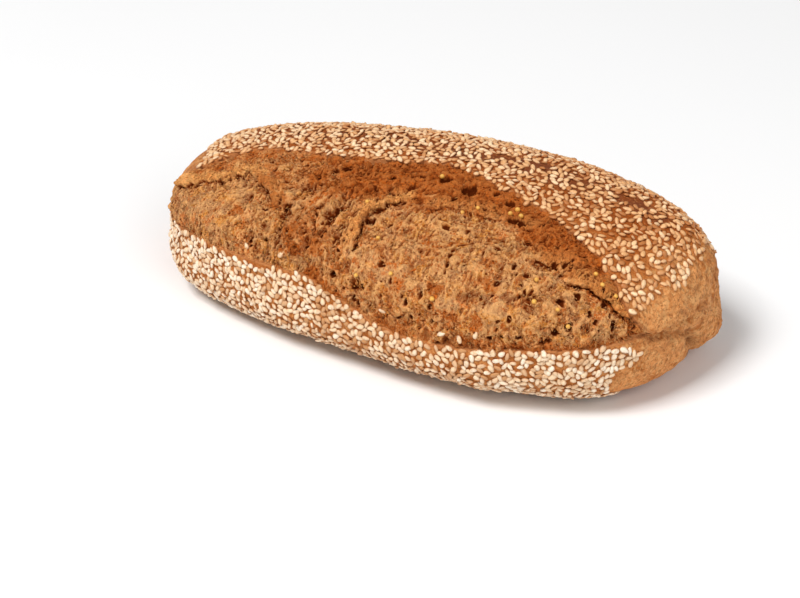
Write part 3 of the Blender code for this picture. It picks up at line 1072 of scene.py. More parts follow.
@dataclass(frozen=True)
class CrumbFinish:
    """Torn crumb: tan on its bulges, orange where it browned, with shade painted dark in its
    hollows.
    """

    tan: Color = (0.43, 0.166, 0.042)
    grey: Color = (0.46, 0.222, 0.092)
    gold: Color = (0.60, 0.220, 0.032)
    amber: Color = (0.385, 0.086, 0.010)
    rust: Color = (0.28, 0.053, 0.006)
    orange: Color = (0.55, 0.115, 0.010)
    bran: Color = (0.18, 0.023, 0.002)
    pale: Color = (0.80, 0.41, 0.155)
    glow: Color = (0.52, 0.160, 0.035)
    golden: Color = (0.88, 0.415, 0.125)
    shade: Color = (0.23, 0.047, 0.005)
    # dusk is painted shade for the shallow low places; umber darkens threads and specks and is
    # deeper painted shade; hollow is the deepest painted shade and the dark of the baked places.
    shallow_shade: Color = (0.30, 0.098, 0.030)
    umber_and_shade: Color = (0.17, 0.030, 0.003)
    hollow: Color = (0.095, 0.014, 0.001)

    def material(self) -> bpy.types.Material:
        """Build it: toast mixes tan, amber and rust; hollow paints shade that takes it to the dark.

        Patches are greyer or golden, flecks are orange or bran, torn edges are golden,
        and a fine foam with pale walls and brown pores covers it all.

        Returns:
            The material.
        """
        bench = Bench(bpy.data.materials.new("torn_crumb"))
        patch = bench.math("SUBTRACT", bench.noise(8.0, 6.0, 0.66), 0.5)
        toast = bench.math("ADD", bench.attribute("toast"), bench.math("MULTIPLY", patch, 2.6))
        rough = bench.attribute("rough")
        color = bench.lay(self.tan, self.grey, bench.spots(9.0, 3.0, 0.50, 0.56, 1.0))
        color = bench.lay(color, self.grey, bench.step(rough, 0.65, 0.3), 0.8)
        color = bench.lay(color, self.gold, bench.spots(8.0, 4.0, 0.53, 0.58, 0.9))
        color = bench.lay(color, self.amber, bench.step(toast, 0.10, 0.60))
        color = bench.lay(color, self.rust, bench.step(toast, 0.55, 1.15))
        color = bench.lay(color, self.orange, bench.spots(6.5, 5.0, 0.55, 0.62, 0.7))
        warm = bench.step(toast, -0.3, 0.4)
        color = bench.lay(color, self.orange, bench.spots(3.0, 15.0, 0.56, 0.62, 0.8), warm)
        color = bench.lay(color, self.golden, bench.attribute("edge"))
        color = bench.lay(color, self.bran, bench.specks(3.4, 7.0, 0.25, 0.26), 0.8)

        # Tints that darken with the baking, so that they still stand out there.
        baked = bench.step(toast, 0.2, 1.0)
        light = bench.mix(baked, self.pale, self.glow)
        shade = bench.mix(baked, self.shade, self.hollow)
        umber_and_shade = bench.mix(baked, self.umber_and_shade, self.hollow)
        shallow_shade = bench.mix(baked, self.shallow_shade, self.umber_and_shade)

        fibres = bench.noise(2.0, 4.0, 0.62, 8.0, FIBRE_STRETCH)
        dark = bench.math("MULTIPLY", bench.step(fibres, 0.47, 0.37), rough)
        color = bench.lay(color, shade, dark, 0.65)
        color = bench.lay(color, light, bench.step(fibres, 0.53, 0.62), 0.7)
        for size, start, width, most, tint in (
            (5.5, 11.0, 0.013, 0.8, light), (2.8, 12.0, 0.018, 0.6, light),
            (4.2, 13.0, 0.012, 0.7, umber_and_shade),
        ):
            color = bench.lay(color, tint, bench.threads(size, start, width), most)
        walls = bench.walls(1.6, 1.0, 0.09)
        color = bench.lay(color, light, walls, 0.4)
        color = bench.lay(color, umber_and_shade, bench.specks(1.25, 2.0, 0.30, 0.40), 0.8)
        fine = bench.noise(1.1, 4.0, 0.68, 17.0, FINE_STRETCH)
        color = bench.lay(color, umber_and_shade, bench.step(fine, 0.46, 0.36), 0.4)
        color = bench.lay(color, light, bench.step(fine, 0.55, 0.66), 0.4)
        for size, start, chance, radius, most, tint in (
            (1.7, 21.0, 0.35, 0.30, 0.75, light),
            (2.4, 23.0, 0.25, 0.32, bench.math("MULTIPLY", warm, 0.65), self.orange),
            (1.9, 25.0, 0.30, 0.34, 0.9, umber_and_shade),
        ):
            color = bench.lay(color, tint, bench.specks(size, start, chance, radius), most)
        color = bench.lay(color, self.golden, bench.step(fine, 0.40, 0.54), bench.attribute("edge"))

        # Painted shade and highlight: the hollow attribute lightens the crests and darkens low
        # places, grooves and pores step by step to the dark.
        hollow = bench.attribute("hollow")
        color = bench.lay(color, light, bench.step(hollow, 0.12, -0.08), 0.5)
        color = bench.lay(color, shallow_shade, bench.step(hollow, 0.24, 0.5), 0.7)
        color = bench.lay(color, umber_and_shade, bench.step(hollow, 0.48, 0.85))
        color = bench.lay(color, self.hollow, bench.step(hollow, 0.85, 1.1))
        normal = bench.bump(walls, 0.2, 0.8)
        normal = bench.bump(fibres, 0.9, 1.0, normal)
        return bench.finish(
            color, 0.8, normal, Specular_IOR_Level=0.04, Subsurface_Weight=0.06,
            Subsurface_Radius=(1.0, 0.4, 0.15), Subsurface_Scale=0.8 * MM,
        )


class Roast(Enum):
    """How brown the sesame is: its pale, its middle and its dark colour."""

    PALE = ((0.96, 0.83, 0.65), (0.87, 0.64, 0.41), (0.56, 0.27, 0.105))
    TOASTED = ((0.95, 0.69, 0.42), (0.80, 0.445, 0.197), (0.46, 0.165, 0.045))


@dataclass(frozen=True)
class SeedFinish:
    """Sesame: a smooth hull with painted shadow on its lower half, whose colour differs between
    seeds.
    """

    roast: Roast

    def material(self) -> bpy.types.Material:
        """Build it: tone picks the seed's colour and tip darkens its pointed end.

        Returns:
            The material.
        """
        bench = Bench(bpy.data.materials.new(f"sesame_{self.roast.name.lower()}"))
        pale, middle, dark = self.roast.value
        tone = bench.attribute("tone")
        color = bench.lay(pale, middle, bench.step(tone, 0.1, 0.6))
        color = bench.lay(color, dark, bench.step(tone, 0.62, 1.0))
        color = bench.lay(color, dark, bench.step(bench.noise(1.2, 3.0), 0.48, 0.66), 0.45)
        color = bench.lay(color, dark, bench.attribute("tip"), 0.4)
        # Painted shadow on the lower half of each seed, where it meets the crust.
        color = bench.lay(color, dark, bench.attribute("rim"), 0.85)
        normal = bench.bump(bench.noise(0.5, 2.0), 0.06, 0.4)
        return bench.finish(color, 0.38, normal, Specular_IOR_Level=0.3)


@dataclass(frozen=True)
class PlainFinish:
    """One flecked colour, for millet grains and the ground."""

    name: str
    color: Color
    shade: Color
    roughness: float
    fleck_size: float

    def material(self) -> bpy.types.Material:
        """Build it: soft noise mixes the colour with its shade.

        Returns:
            The material.
        """
        bench = Bench(bpy.data.materials.new(self.name))
        flecks = bench.step(bench.noise(self.fleck_size, 3.0), 0.45, 0.75)
        return bench.finish(bench.mix(flecks, self.color, self.shade), self.roughness)


# ---- crust and crumb


@dataclass
class Crust:
    """The loaf's crust and body, one closed piece with a trench where it tore.

    Its cross-section runs from the lower lip under the base, up the back and over the
    ridge to the upper lip, and returns through the trench. The wrinkles, blisters, folds
    and grain are each a height and the size of its noise, in millimetres.
    """

    form: LoafForm
    relief: Relief
    rings: int = 390
    outer_columns: int = 230
    tip_crowding: float = 0.5
    tip_gap: float = 0.35
    lip_stations: int = 60
    full_trench: float = 30.0
    wrinkles: Pair = (0.3, 7.0)
    blisters: Pair = (0.4, 6.0)
    blister_radius: float = 1.8
    blister_chance: float = 0.4
    bare_end: Pair = (108.0, 120.0)
    end_folds: Pair = (1.2, 6.5)
    end_grain: Pair = (0.3, 2.2)
    column_marks: tuple[float, ...] = (0.0, 0.24, 0.36, 1.0)
    turn_marks: tuple[float, ...] = (0.0, 0.165, 0.46, 1.0)
    trench_inward: tuple[float, ...] = (0.22, 0.4, 0.7, 1.4, 4.0, 9.0, 15.0)
    trench_depth: tuple[float, ...] = (0.35, 1.1, 2.2, 4.5, 8.0, 11.0, 13.0)

    def stations(self) -> Array:
        """Space the rings, closer towards the tips.

        A blend of the sine of an even angle and of the angle itself.

        Returns:
            The rings' x in millimetres.
        """
        reach = math.pi / 2 * (1 - self.tip_gap / self.rings)
        ring = np.linspace(-reach, reach, self.rings)
        share = self.tip_crowding * np.sin(ring)
        share += (1 - self.tip_crowding) * ring / (math.pi / 2)
        return share * self.form.length / 2

    def surface(self, x: Array, turn: Array) -> dict[str, Array]:
        """Return the crust's outer points, and what its finish needs, at places.

        The height is the shared relief and small wrinkles, with blisters, and with
        sharp creases on the bare right end.

        Args:
            x: millimetres along the loaf.
            turn: section angles in radians.

        Returns:
            points, edge (the distance to the nearer lip) and cavity, the painted shade of the
            grooves and of the folds' valleys.
        """
        plain = self.form.plain(x, turn)
        normals, _ = self.form.directions(x, turn)
        move = self.relief.shared(plain, normals)
        height = move.height
        edge = np.minimum(
            Trail(plain, self.lip_path(self.form.upper_lip)).gap,
            Trail(plain, self.lip_path(self.form.lower_lip)).gap,
        )
        height += self.wrinkles[0] * WRINKLES.layered(plain, self.wrinkles[1], 3)
        near, _, chance, _ = BLISTERS.cells(plain, self.blisters[1])
        raised = chance > 1 - self.blister_chance
        height += self.blisters[0] * np.where(raised, bell(near, self.blister_radius), 0.0)
        bare = smooth_step(*self.bare_end, x)
        swayed = END_SWAY.warp(plain, 7.0, 2.5) * (1.0, 0.7, 1.6)
        folds = END_FOLDS.ridged(swayed, self.end_folds[1], 3)
        grain = self.end_grain[0] * END_GRAIN.layered(plain, self.end_grain[1], 2)
        height += bare * (self.end_folds[0] * (folds - RIDGE_MEAN) + grain)
        height *= self.relief.ground_share(plain)
        points = plain + normals * height[..., None]
        points[..., 2] = np.maximum(points[..., 2], 0.0)
        # Painted shade: darker in the grooves and in the valleys of the bare end's folds.
        cavity = move.groove / 8.0 + bare * smooth_step(0.45, 0.2, folds) * 0.3
        return {"points": points, "edge": edge, "cavity": cavity}

    def lip_path(self, lip: tuple[Pair, ...]) -> Array:
        """Return a lip's points on the plain loaf."""
        x = np.linspace(lip[0][0], lip[-1][0], self.lip_stations)
        return self.form.plain(x, self.form.lip(lip, x))

    def grid(self) -> dict[str, Array]:
        """Work out the closed cross-sections: outer surface first, then the trench.

        The trench goes down close beside each lip and is level between.

        Returns:
            points, edge and cavity, as surface() has them, in rings by columns.
        """
        x = self.stations()
        upper, lower = self.form.lips(x)
        share = np.interp(
            np.linspace(0.0, 1.0, self.outer_columns), self.column_marks, self.turn_marks,
        )
        sweep = 2 * math.pi + upper - lower
        turn = lower[:, None] + sweep[:, None] * share
        along = np.broadcast_to(x[:, None], turn.shape)
        outer = self.surface(along, turn)

        gap = np.linalg.norm(self.form.plain(x, upper) - self.form.plain(x, lower), axis=-1)
        count = len(self.trench_inward)
        wide = np.maximum(gap, 1e-6)[:, None]
        part = (np.arange(count) + 1) / (2 * count + 1)
        inward = np.minimum(np.array(self.trench_inward) / wide, part)
        crossing = np.concatenate([inward, 1 - inward[:, ::-1]], axis=1)
        depth = np.array(self.trench_depth) * np.minimum(1.0, wide / self.full_trench)
        depth = np.concatenate([depth, depth[:, ::-1]], axis=1)
        inner_turn = upper[:, None] + (lower - upper)[:, None] * crossing
        inner_x = np.broadcast_to(x[:, None], inner_turn.shape)
        normals, _ = self.form.directions(inner_x, inner_turn)
        chord = outer["points"][:, -1, None] * (1 - crossing[..., None])
        chord = chord + outer["points"][:, :1] * crossing[..., None]
        bow = (4 * crossing * (1 - crossing))[..., None]
        floor = self.form.plain(inner_x, inner_turn) * bow + chord * (1 - bow)
        trench = floor - normals * depth[..., None]
        closed = gap < 1e-6
        trench[closed] = outer["points"][closed][:, :1]
        # The trench takes painted shade that grows with its depth.
        hollow = np.concatenate([outer["cavity"], 0.05 * depth], axis=1)
        edge = np.concatenate([outer["edge"], 0.0 * depth], axis=1)
        for values in (hollow, edge):
            values[closed, self.outer_columns:] = values[closed, :1]
        return {
            "points": np.concatenate([outer["points"], trench], axis=1),
            "edge": edge, "cavity": hollow,
        }

    def bake(self, points: Array) -> Array:
        """Work out how dark the crust is baked: most at the ridge, least at the sides.

        Height above the base and the nearness of the ridge line add to it, and the
        underside is baked brown.

        Args:
            points: places in millimetres.

        Returns:
            0 for pale crust to 1 for dark.
        """
        high = smooth_step(20.0, 68.0, points[..., 2])
        ridge = bell(points[..., 1] - self.form.ridge_y + 3.0, 13.0)
        right = smooth_step(100.0, 124.0, points[..., 0])
        under = smooth_step(4.0, 0.0, points[..., 2])
        value = 0.30 + 0.22 * high + 0.45 * ridge * high
        left = smooth_step(-100.0, -116.0, points[..., 0])
        return np.clip(value * (1 - 0.75 * right - 0.5 * left) + 0.55 * under, 0.0, 1.0)

    def build(self) -> bpy.types.Object:
        """Make the crust and dress it.

        Returns:
            Its mesh.
        """
        grid = self.grid()
        item = make_tube("loaf_crust", grid["points"])
        set_attribute(item, "bake", add_ends(self.bake(grid["points"])))
        torn = smooth_step(1.0, 0.1, grid["edge"])
        set_attribute(item, "torn", add_ends(torn))
        # Painted shade for the grooves, the trench and the end's folds.
        set_attribute(item, "cavity", add_ends(np.clip(grid["cavity"], 0, 1)))
        close_seams(item)
        item.data.materials.append(CrustFinish().material())
        return item


def blurred(values: Array, reach: int) -> Array:
    """Take the mean over a square of 2 reach + 1 grid places, twice over.

    Args:
        values: numbers on a grid.
        reach: how many places the square reaches each way.

    Returns:
        The means, on the same grid.
    """
    for _ in range(2):
        for axis in (0, 1):
            pad = [(0, 0), (0, 0)]
            pad[axis] = (reach + 1, reach)
            total = np.cumsum(np.pad(values, pad, mode="edge"), axis=axis)
            size = 2 * reach + 1
            ahead = np.take(total, range(size, total.shape[axis]), axis=axis)
            behind = np.take(total, range(0, total.shape[axis] - size), axis=axis)
            values = (ahead - behind) / size
    return values


@dataclass
class Crumb:
    """The crumb that burst out between the lips, as closed pieces end to end.

    Its edges reach in under the crust, and its back returns below the trench. The crags,
    lumps, ledges, rib folds, foams and grain are each a height, or a depth, and the size
    of its noise, in millimetres.
    """

    form: LoafForm
    relief: Relief
    first: float = -126.0
    last: float = 117.8
    rings: int = 655
    pieces: int = 2
    outer_columns: int = 282
    back_columns: int = 10
    tuck: float = 0.045
    tuck_drop: float = 4.0
    back_depth: float = 11.0
    lip_drops: Pair = (0.5, 0.6)
    lip_reach: float = 5.0
    crags: Pair = (1.3, 10.0)
    lumps: Pair = (1.9, 7.0)
    ledge: Pair = (1.2, 9.0)
    fine_lump_size: float = 2.8
    rib_folds: Pair = (3.4, 8.0)
    fibre_size: float = 1.7
    coarse_foam: Pair = (1.8, 7.5)
    fine_foam: Pair = (0.9, 3.8)
    grain: Pair = (0.16, 1.5)
    pit_chance: float = 0.36
    tear_stretch: Triple = (1.2, 0.8, 0.8)
    rib_zone: Patch = Patch(-30.0, 27.0, 137.0, 0.40)
    above_scale: float = 0.8
    below_scale: float = 0.75
    plain_roughness: float = 0.85
    roughness_limits: Pair = (0.25, 1.6)
    # What the left bulge, the middle bulge, the ribs and the ear add to the roughness.
    rough_patches: tuple[Patch, ...] = (
        Patch(-82.0, 24.0, 152.0, 0.28, -0.65), Patch(34.0, 28.0, 160.0, 0.24, -0.4),
        Patch(-30.0, 26.0, 136.0, 0.42, 0.5), Patch(-90.0, 26.0, 129.0, 0.14, 0.45),
    )
    pores: tuple[Pore, ...] = tuple(Pore(*row) for row in (
        (-78.5, 126, 3.2, 4.8, 1.2), (-73, 127, 2.2, 3.4), (-72, 114, 2.4, 3.6, 0.7),
        (-57.5, 134, 2.0, 3.2, 0.8), (-65, 118, 2.0, 3.2, 0.7), (-58, 136, 1.4, 2.0, 0.6),
        (-53, 139, 1.2, 1.8), (-85, 145, 0.9, 1.2), (-61, 143, 0.9, 1.3), (-48, 148, 1.0, 1.4),
        (-39, 145, 1.4, 2.0), (-45, 155, 1.3, 2.0), (-44, 135, 2.2, 2.8, 1.2), (-38, 130, 1.8, 2.8),
        (-49, 126, 1.4, 2.4), (-28, 132.6, 1.4, 2.4, 0.7), (-9, 136, 1.1, 1.9),
        (-10, 147, 1.1, 1.8), (-10, 120, 1.4, 1.8), (-30, 123, 2.2, 3.4, 1.3),
        (-36, 114, 2.6, 3.8, 0.75), (-32, 112, 2.9, 4.6, 0.9), (-44, 112, 2.2, 3.0, 0.8),
        (-27, 136, 1.3, 2.4, 0.7), (-24, 153, 1.2, 1.8), (-35, 156, 1.4, 2.2, 1.4),
        (-9, 151, 1.1, 1.8), (-8, 164, 1.9, 3.0), (-16, 112, 1.9, 3.0, 0.7),
        (-8, 113, 2.0, 3.0, 0.8), (2, 110, 2.8, 3.4, 1.3), (14, 108, 3.4, 4.8, 1.0),
        (26, 110, 3.4, 5.4, 1.0), (39, 109, 2.0, 2.8), (47, 112, 2.4, 3.6),
        (-1.6, 134, 2.8, 4.2, 0.8), (-1, 147, 2.2, 3.6, 0.8), (-5, 118, 1.5, 1.2),
        (8, 134, 1.5, 1.8), (14, 152, 1.4, 1.6), (9, 142, 1.1, 1.4), (28, 127, 1.4, 1.8, 1.4),
        (31, 130, 1.9, 1.8), (36, 125, 1.1, 1.5), (40, 138, 1.2, 1.6), (20, 158, 1.1, 1.5),
        (7, 166, 1.7, 2.6), (3, 177, 1.6, 2.4), (25, 179, 1.1, 1.6), (31, 176, 1.1, 1.8),
        (65, 175, 1.3, 2.0), (56, 133, 1.5, 1.6), (56, 119, 2.6, 4.4, 2.0),
        (65, 126, 1.4, 1.5, 1.6), (71, 121, 1.0, 1.6), (80, 133, 1.9, 2.4), (72, 140, 1.4, 1.6),
        (74, 148, 1.3, 1.8), (88, 149, 1.8, 2.2), (88, 126, 1.3, 1.6), (93, 144, 1.6, 2.4, 1.6),
        (103, 147, 1.7, 2.0), (99, 153, 1.3, 1.8), (106, 153, 1.1, 1.6), (102, 158, 1.1, 1.5),
        (93, 161, 1.1, 1.8), (89, 166, 1.9, 3.6), (100, 163, 1.4, 1.8), (108, 160, 3.2, 2.6, 0.45),
        (76, 172, 1.4, 2.2), (70, 173, 1.0, 1.6), (68, 165, 1.1, 1.4), (86, 173, 1.5, 2.0, 1.8),
    ))
    cups: tuple[Pore, ...] = tuple(Pore(*row) for row in (
        (-51, 118, 3.2, 1.0), (-44, 125, 2.8, 1.2, 1.2), (-21, 135, 6.4, 1.8, 0.6),
        (-42, 139, 3.6, 1.4, 0.8), (-48, 147, 3.2, 0.9), (-54, 156, 3.0, 1.2), (-49, 162, 2.6, 1.0),
        (-16, 160, 3.4, 0.7, 1.6), (-46, 112, 2.2, 1.0), (-3, 157, 3.4, 1.4), (4, 166, 3.0, 1.2),
        (12, 177, 3.2, 1.0), (38, 186, 3.2, 0.9), (4, 115, 2.8, 1.2), (84, 132, 2.4, 1.2),
        (84, 144, 3.2, 0.9), (77, 153, 3.0, 1.4), (100, 162, 2.6, 1.2), (76, 134, 3.2, 1.6, 1.4),
        (89, 166, 2.8, 1.4), (15, 109, 3.4, 1.2), (27, 111, 3.4, 1.2), (27, 151, 3.0, 0.6),
        (-28, 145, 3.0, 1.0, 0.7),
    ))
    blushes: tuple[Swell, ...] = (
        Swell((-50, 134), 5.0, 4.0, 0.7), Swell((-53, 128), 5.0, 3.0, 0.5),
        Swell((-40, 121), 5.0, 4.0, 0.4), Swell((-20, 153), 4.5, 3.5, 0.5),
        Swell((-18, 166), 4.0, 3.0, 0.5), Swell((-30, 156), 3.5, 3.0, 0.6),
        Swell((-66, 145), 2.5, 3.5, 0.7), Swell((41, 156), 3.5, 2.5, 0.7),
        Swell((41, 165), 2.5, 2.5, 0.6), Swell((59, 170), 3.0, 3.0, 0.6),
        Swell((30, 160), 8.0, 3.0, 0.4), Swell((60, 148), 5.0, 3.0, 0.5),
        Swell((44, 144), 9.0, 6.0, -0.9), Swell((-46, 161), 7.0, 3.5, -1.2),
        Swell((-29, 165), 7.0, 3.5, -1.2), Swell((-21, 133), 5.0, 7.0, -0.6),
        Swell((66, 158), 7.0, 5.0, -0.6), Swell((-82, 141), 9.0, 5.0, -0.5),
        Swell((40, 174), 34.0, 8.0, 0.28),
    )
    border: tuple[Pair, ...] = (
        (-110, 138), (-85, 130), (-60, 124), (-30, 124), (0, 124), (14, 124), (32, 120),
        (52, 120), (66, 126), (75, 131), (86, 136), (98, 141), (111, 152), (118, 170),
    )

    def surface(self, x: Array, turn: Array) -> dict[str, Array]:
        """Return the crumb's outer points, and what its finish needs, at places.

        The height is the shared relief, less the drop at the lips, plus crags, lumps,
        ledges, folds on the ribs and fibres where it browned, less the hollows of two
        foams, the cups and the pores. The noises are drawn out across the tear, and
        warped so that no two hollows look alike.

        Args:
            x: millimetres along the loaf.
            turn: section angles in radians.

        Returns:
            The points, the plain loaf's points and normals, the height, the distances
            above the upper lip and below the lower one, and the shares for the finish.
        """
        plain = self.form.plain(x, turn)
        normals, _ = self.form.directions(x, turn)
        move = self.relief.shared(plain, normals)
        height = move.height
        upper, lower = self.form.lips(x)
        above = (turn - upper) * self.form.front_width * self.above_scale
        below = (lower - turn) * self.form.front_width * self.below_scale
        outside = np.maximum(-np.minimum(above, below), 0.0)
        wide = smooth_step(0.0, 24.0, above + below)
        height -= self.lip_drops[0] * bell(np.maximum(above, 0.0), self.lip_reach) * wide
        height -= self.lip_drops[1] * bell(np.maximum(below, 0.0), self.lip_reach) * wide
        height -= self.tuck_drop * smooth_step(0.0, 3.0, outside)

        rough = self.roughness(x, turn, above) * (1 - 0.5 * move.calm)
        level = smooth_step(0.05, 0.55, SMOOTH_SPOTS.smooth(plain, 11.0))
        rough *= 1 - 0.75 * level * (1 - np.minimum(move.browned, 1.0))
        torn = plain * self.tear_stretch
        torn = FINE_SWAY.warp(SWAY.warp(torn, 7.0, 1.3), 2.2, 0.4)
        height += self.crags[0] * CRAGS.layered(plain, self.crags[1], 2)
        height += self.lumps[0] * rough * (LUMPS.billow(torn, self.lumps[1], 2) - BILLOW_MEAN)
        height += self.ledge[0] * rough * (self.ledges(torn) - LEDGE_MEAN)
        fine = 0.20 + 0.95 * rough + 1.1 * move.browned
        height += fine * (FINE_LUMPS.billow(torn, self.fine_lump_size, 2) - BILLOW_MEAN)
        ribs = self.rib_zone.share(x, turn)
        folds = RIB_SWAY.warp(plain * (1.0, 0.5, 0.5), 7.0, 3.0)
        folds = RIBS.ridged(folds, self.rib_folds[1], 2)
        height += self.rib_folds[0] * ribs * (folds - FOLD_MEAN)
        fibres = FIBRES.ridged(torn * (1.0, 0.35, 0.35), self.fibre_size, 2) - RIDGE_MEAN
        height += (1.6 * move.browned + 0.5 * ribs) * fibres
        bubbles = smooth_step(0.55, 1.1, rough)
        depth = self.coarse_foam[0] * bubbles * FOAM.foam(torn, self.coarse_foam[1])
        depth += self.fine_foam[0] * bubbles * FINE_FOAM.foam(torn, self.fine_foam[1])
        height += self.grain[0] * GRAIN.layered(plain, self.grain[1], 2)
        pores = np.maximum(self.domes(plain, self.pores), self.pits(torn, rough))
        pores = np.maximum(pores, self.domes(plain, self.cups))
        height -= depth + pores

        points = plain + normals * height[..., None] + move.shift
        points[..., 2] = np.maximum(points[..., 2], 1.0)
        return {
            "points": points, "plain": plain, "normals": normals, "height": height,
            "above": above, "below": below, "groove": move.groove, "pores": pores,
            "rough": rough, "browned": move.browned,
            "edge": move.edge * (1 - 0.8 * bell(x + 60.0, 13.0)),
        }

    def ledges(self, torn: Array) -> Array:
        """Work out edges of torn sheets: a smooth noise's fraction, made a sawtooth.

        It rises within a fifth of a step, and falls evenly over the rest.

        Args:
            torn: places, drawn out and warped.

        Returns:
            The height at each place, from 0 to 1.
        """
        level = 1.7 * LEDGES.layered(torn, self.ledge[1], 2)
        part = level - np.floor(level)
        return smooth_step(0.0, 0.18, part) - part

    def pits(self, torn: Array, rough: Array) -> Array:
        """Work out small round pores, a dome in one cell out of a few.

        Args:
            torn: places, drawn out and warped.
            rough: how craggy the crumb is there.

        Returns:
            Their depth at each place in millimetres.
        """
        depth = np.zeros(torn.shape[:-1])
        for noise, size in ((PITS, 6.0), (FINE_PITS, 3.0)):
            near, _, chance, scale = noise.cells(torn, size)
            radius = size * (0.16 + 0.16 * scale)
            dome = np.sqrt(np.clip(1 - (near / radius) ** 2, 0.0, 1.0))
            picked = chance < self.pit_chance * np.clip(rough + 0.1, 0.2, 1.4)
            depth = np.maximum(depth, 1.3 * radius * dome * picked)
        return depth

    def domes(self, plain: Array, pores: tuple[Pore, ...]) -> Array:
        """Work out named pores: a dome's depth within each one's ragged radius.

        Args:
            plain: places on the plain loaf.
            pores: the pores.

        Returns:
            The greatest depth at each place in millimetres.
        """
        depth = np.zeros(plain.shape[:-1])
        ragged = FINE_RIM_SWAY.warp(RIM_SWAY.warp(plain, 3.4, 1.1), 1.1, 0.3)
        for pore in pores:
            offset = ragged - self.form.path(((pore.x, pore.turn),))[0]
            offset[..., 0] /= pore.stretch
            share = np.clip(1 - (np.linalg.norm(offset, axis=-1) / pore.radius) ** 2, 0, 1)
            depth = np.maximum(depth, pore.depth * np.sqrt(share))
        return depth

    def roughness(self, x: Array, turn: Array, above: Array) -> Array:
        """Return how craggy the crumb is: least on the bulges, most on the ribs.

        Args:
            x: millimetres along the loaf.
            turn: section angles in radians.
            above: millimetres from the upper lip.

        Returns:
            The plain roughness, less on the bulges and at the right, and more on the
            ribs, along the ear and in the band under the upper lip left of the strand.
        """
        rough = self.plain_roughness
        for patch in self.rough_patches:
            rough = rough + patch.share(x, turn)
        band = bell(above - 6.0, 7.0)
        rich = band * smooth_step(-90.0, -60.0, x) * smooth_step(-10.0, -25.0, x)
        plain = band * smooth_step(-15.0, 0.0, x) * smooth_step(70.0, 50.0, x)
        right = smooth_step(58.0, 90.0, x)
        rough = rough + 0.6 * rich - 0.15 * plain - 0.2 * right
        return np.clip(rough, *self.roughness_limits)

    def toast(self, surface: dict[str, Array], x: Array, turn: Array) -> Array:
        """Return how browned the crumb is: most under the upper lip and on the strands.

        The band between the upper lip and its border with the bulges is all browned.
        Nearness to the lips, the ribs and the edges of the flaps add to it, and so do
        the blushes, each in its own ragged patch. What stands high is browner.

        Args:
            surface: what surface() returns at the places.
            x: millimetres along the loaf.
            turn: section angles in radians.

        Returns:
            0 for pale crumb to 1 for rust.
        """
        band = smooth_step(5.0, -3.0, np.degrees(turn) - read_line(self.border, x))
        top = smooth_step(17.0, 3.0, surface["above"]) * smooth_step(-112.0, -80.0, x)
        top += 0.7 * smooth_step(20.0, 6.0, surface["above"]) * smooth_step(-30.0, 0.0, x)
        low = smooth_step(13.0, 1.0, surface["below"]) * (0.25 + smooth_step(-60.0, 0.0, x))
        ribs = bell(x + 24.0, 24.0) * 0.3
        right = smooth_step(60.0, 90.0, x) * 0.02
        top *= 0.5 + 0.7 * smooth_step(-35.0, -5.0, x)
        band *= 0.50 + 0.36 * smooth_step(-40.0, -10.0, x)
        pale = 0.14 * bell(x + 90.0, 24.0)
        toast = 0.05 - pale + band + 0.35 * top + 0.42 * low + ribs + right
        toast = np.maximum(toast, 0.5 * surface["browned"])
        ragged = BLUSH_SWAY.warp(surface["plain"], 5.0, 1.8)
        for blush in self.blushes:
            along, across = blush.offsets(ragged, self.form)
            toast += blush.height * smooth_step(1.3, 0.6, np.hypot(along, across))
        raised = 0.22 * surface["height"] * smooth_step(0.6, 1.2, surface["rough"])
        return np.clip(toast + raised, 0.0, 1.15)

    def hollows(self, surface: dict[str, Array]) -> Array:
        """Paint shade on each place by how far it lies below what is around it.

        It is the blurred height less the height, near by and farther off, with the
        grooves and pores added.

        Args:
            surface: what surface() returns on a grid.

        Returns:
            The painted shade, from about 0 to 1; the crests get the lowest values, which the finish
            paints as highlight.
        """
        height = surface["height"]
        fine = blurred(height, 2) - height
        broad = blurred(height, 9) - height
        shade = 0.17 + 0.60 * fine + 0.30 * broad + 0.12 * surface["groove"]
        shade += 0.70 * smooth_step(0.1, 2.6, surface["pores"])
        return np.clip(shade + 0.3 * smooth_step(2.8, 4.4, surface["pores"]), -0.2, 1.2)

    def build(self) -> list[bpy.types.Object]:
        """Make the crumb and dress it, in pieces that share the ring where they meet.

        Its back is a chord between the two tucked edges, bowed inwards by a sine.

        Returns:
            The pieces' meshes.
        """
        x = np.linspace(self.first, self.last, self.rings)
        upper, lower = self.form.lips(x)
        share = np.linspace(0.0, 1.0, self.outer_columns)
        low, high = (upper - self.tuck)[:, None], (lower + self.tuck)[:, None]
        turn = low + (high - low) * share
        along = np.broadcast_to(x[:, None], turn.shape)
        outer = self.surface(along, turn)

        step = np.arange(1, self.back_columns + 1) / (self.back_columns + 1)
        back_turn = high + (low - high) * step
        back_x = np.broadcast_to(x[:, None], back_turn.shape)
        normals, _ = self.form.directions(back_x, back_turn)
        gap = np.linalg.norm(outer["points"][:, 0] - outer["points"][:, -1], axis=-1)
        depth = np.minimum(self.back_depth, gap * 0.35)[:, None] * np.sin(math.pi * step)
        step = step[:, None]
        chord = outer["points"][:, -1, None] * (1 - step) + outer["points"][:, :1] * step
        back = chord - normals * depth[..., None]
        points = np.concatenate([outer["points"], back], axis=1)[:, ::-1]
        filler = np.ones(back_turn.shape)
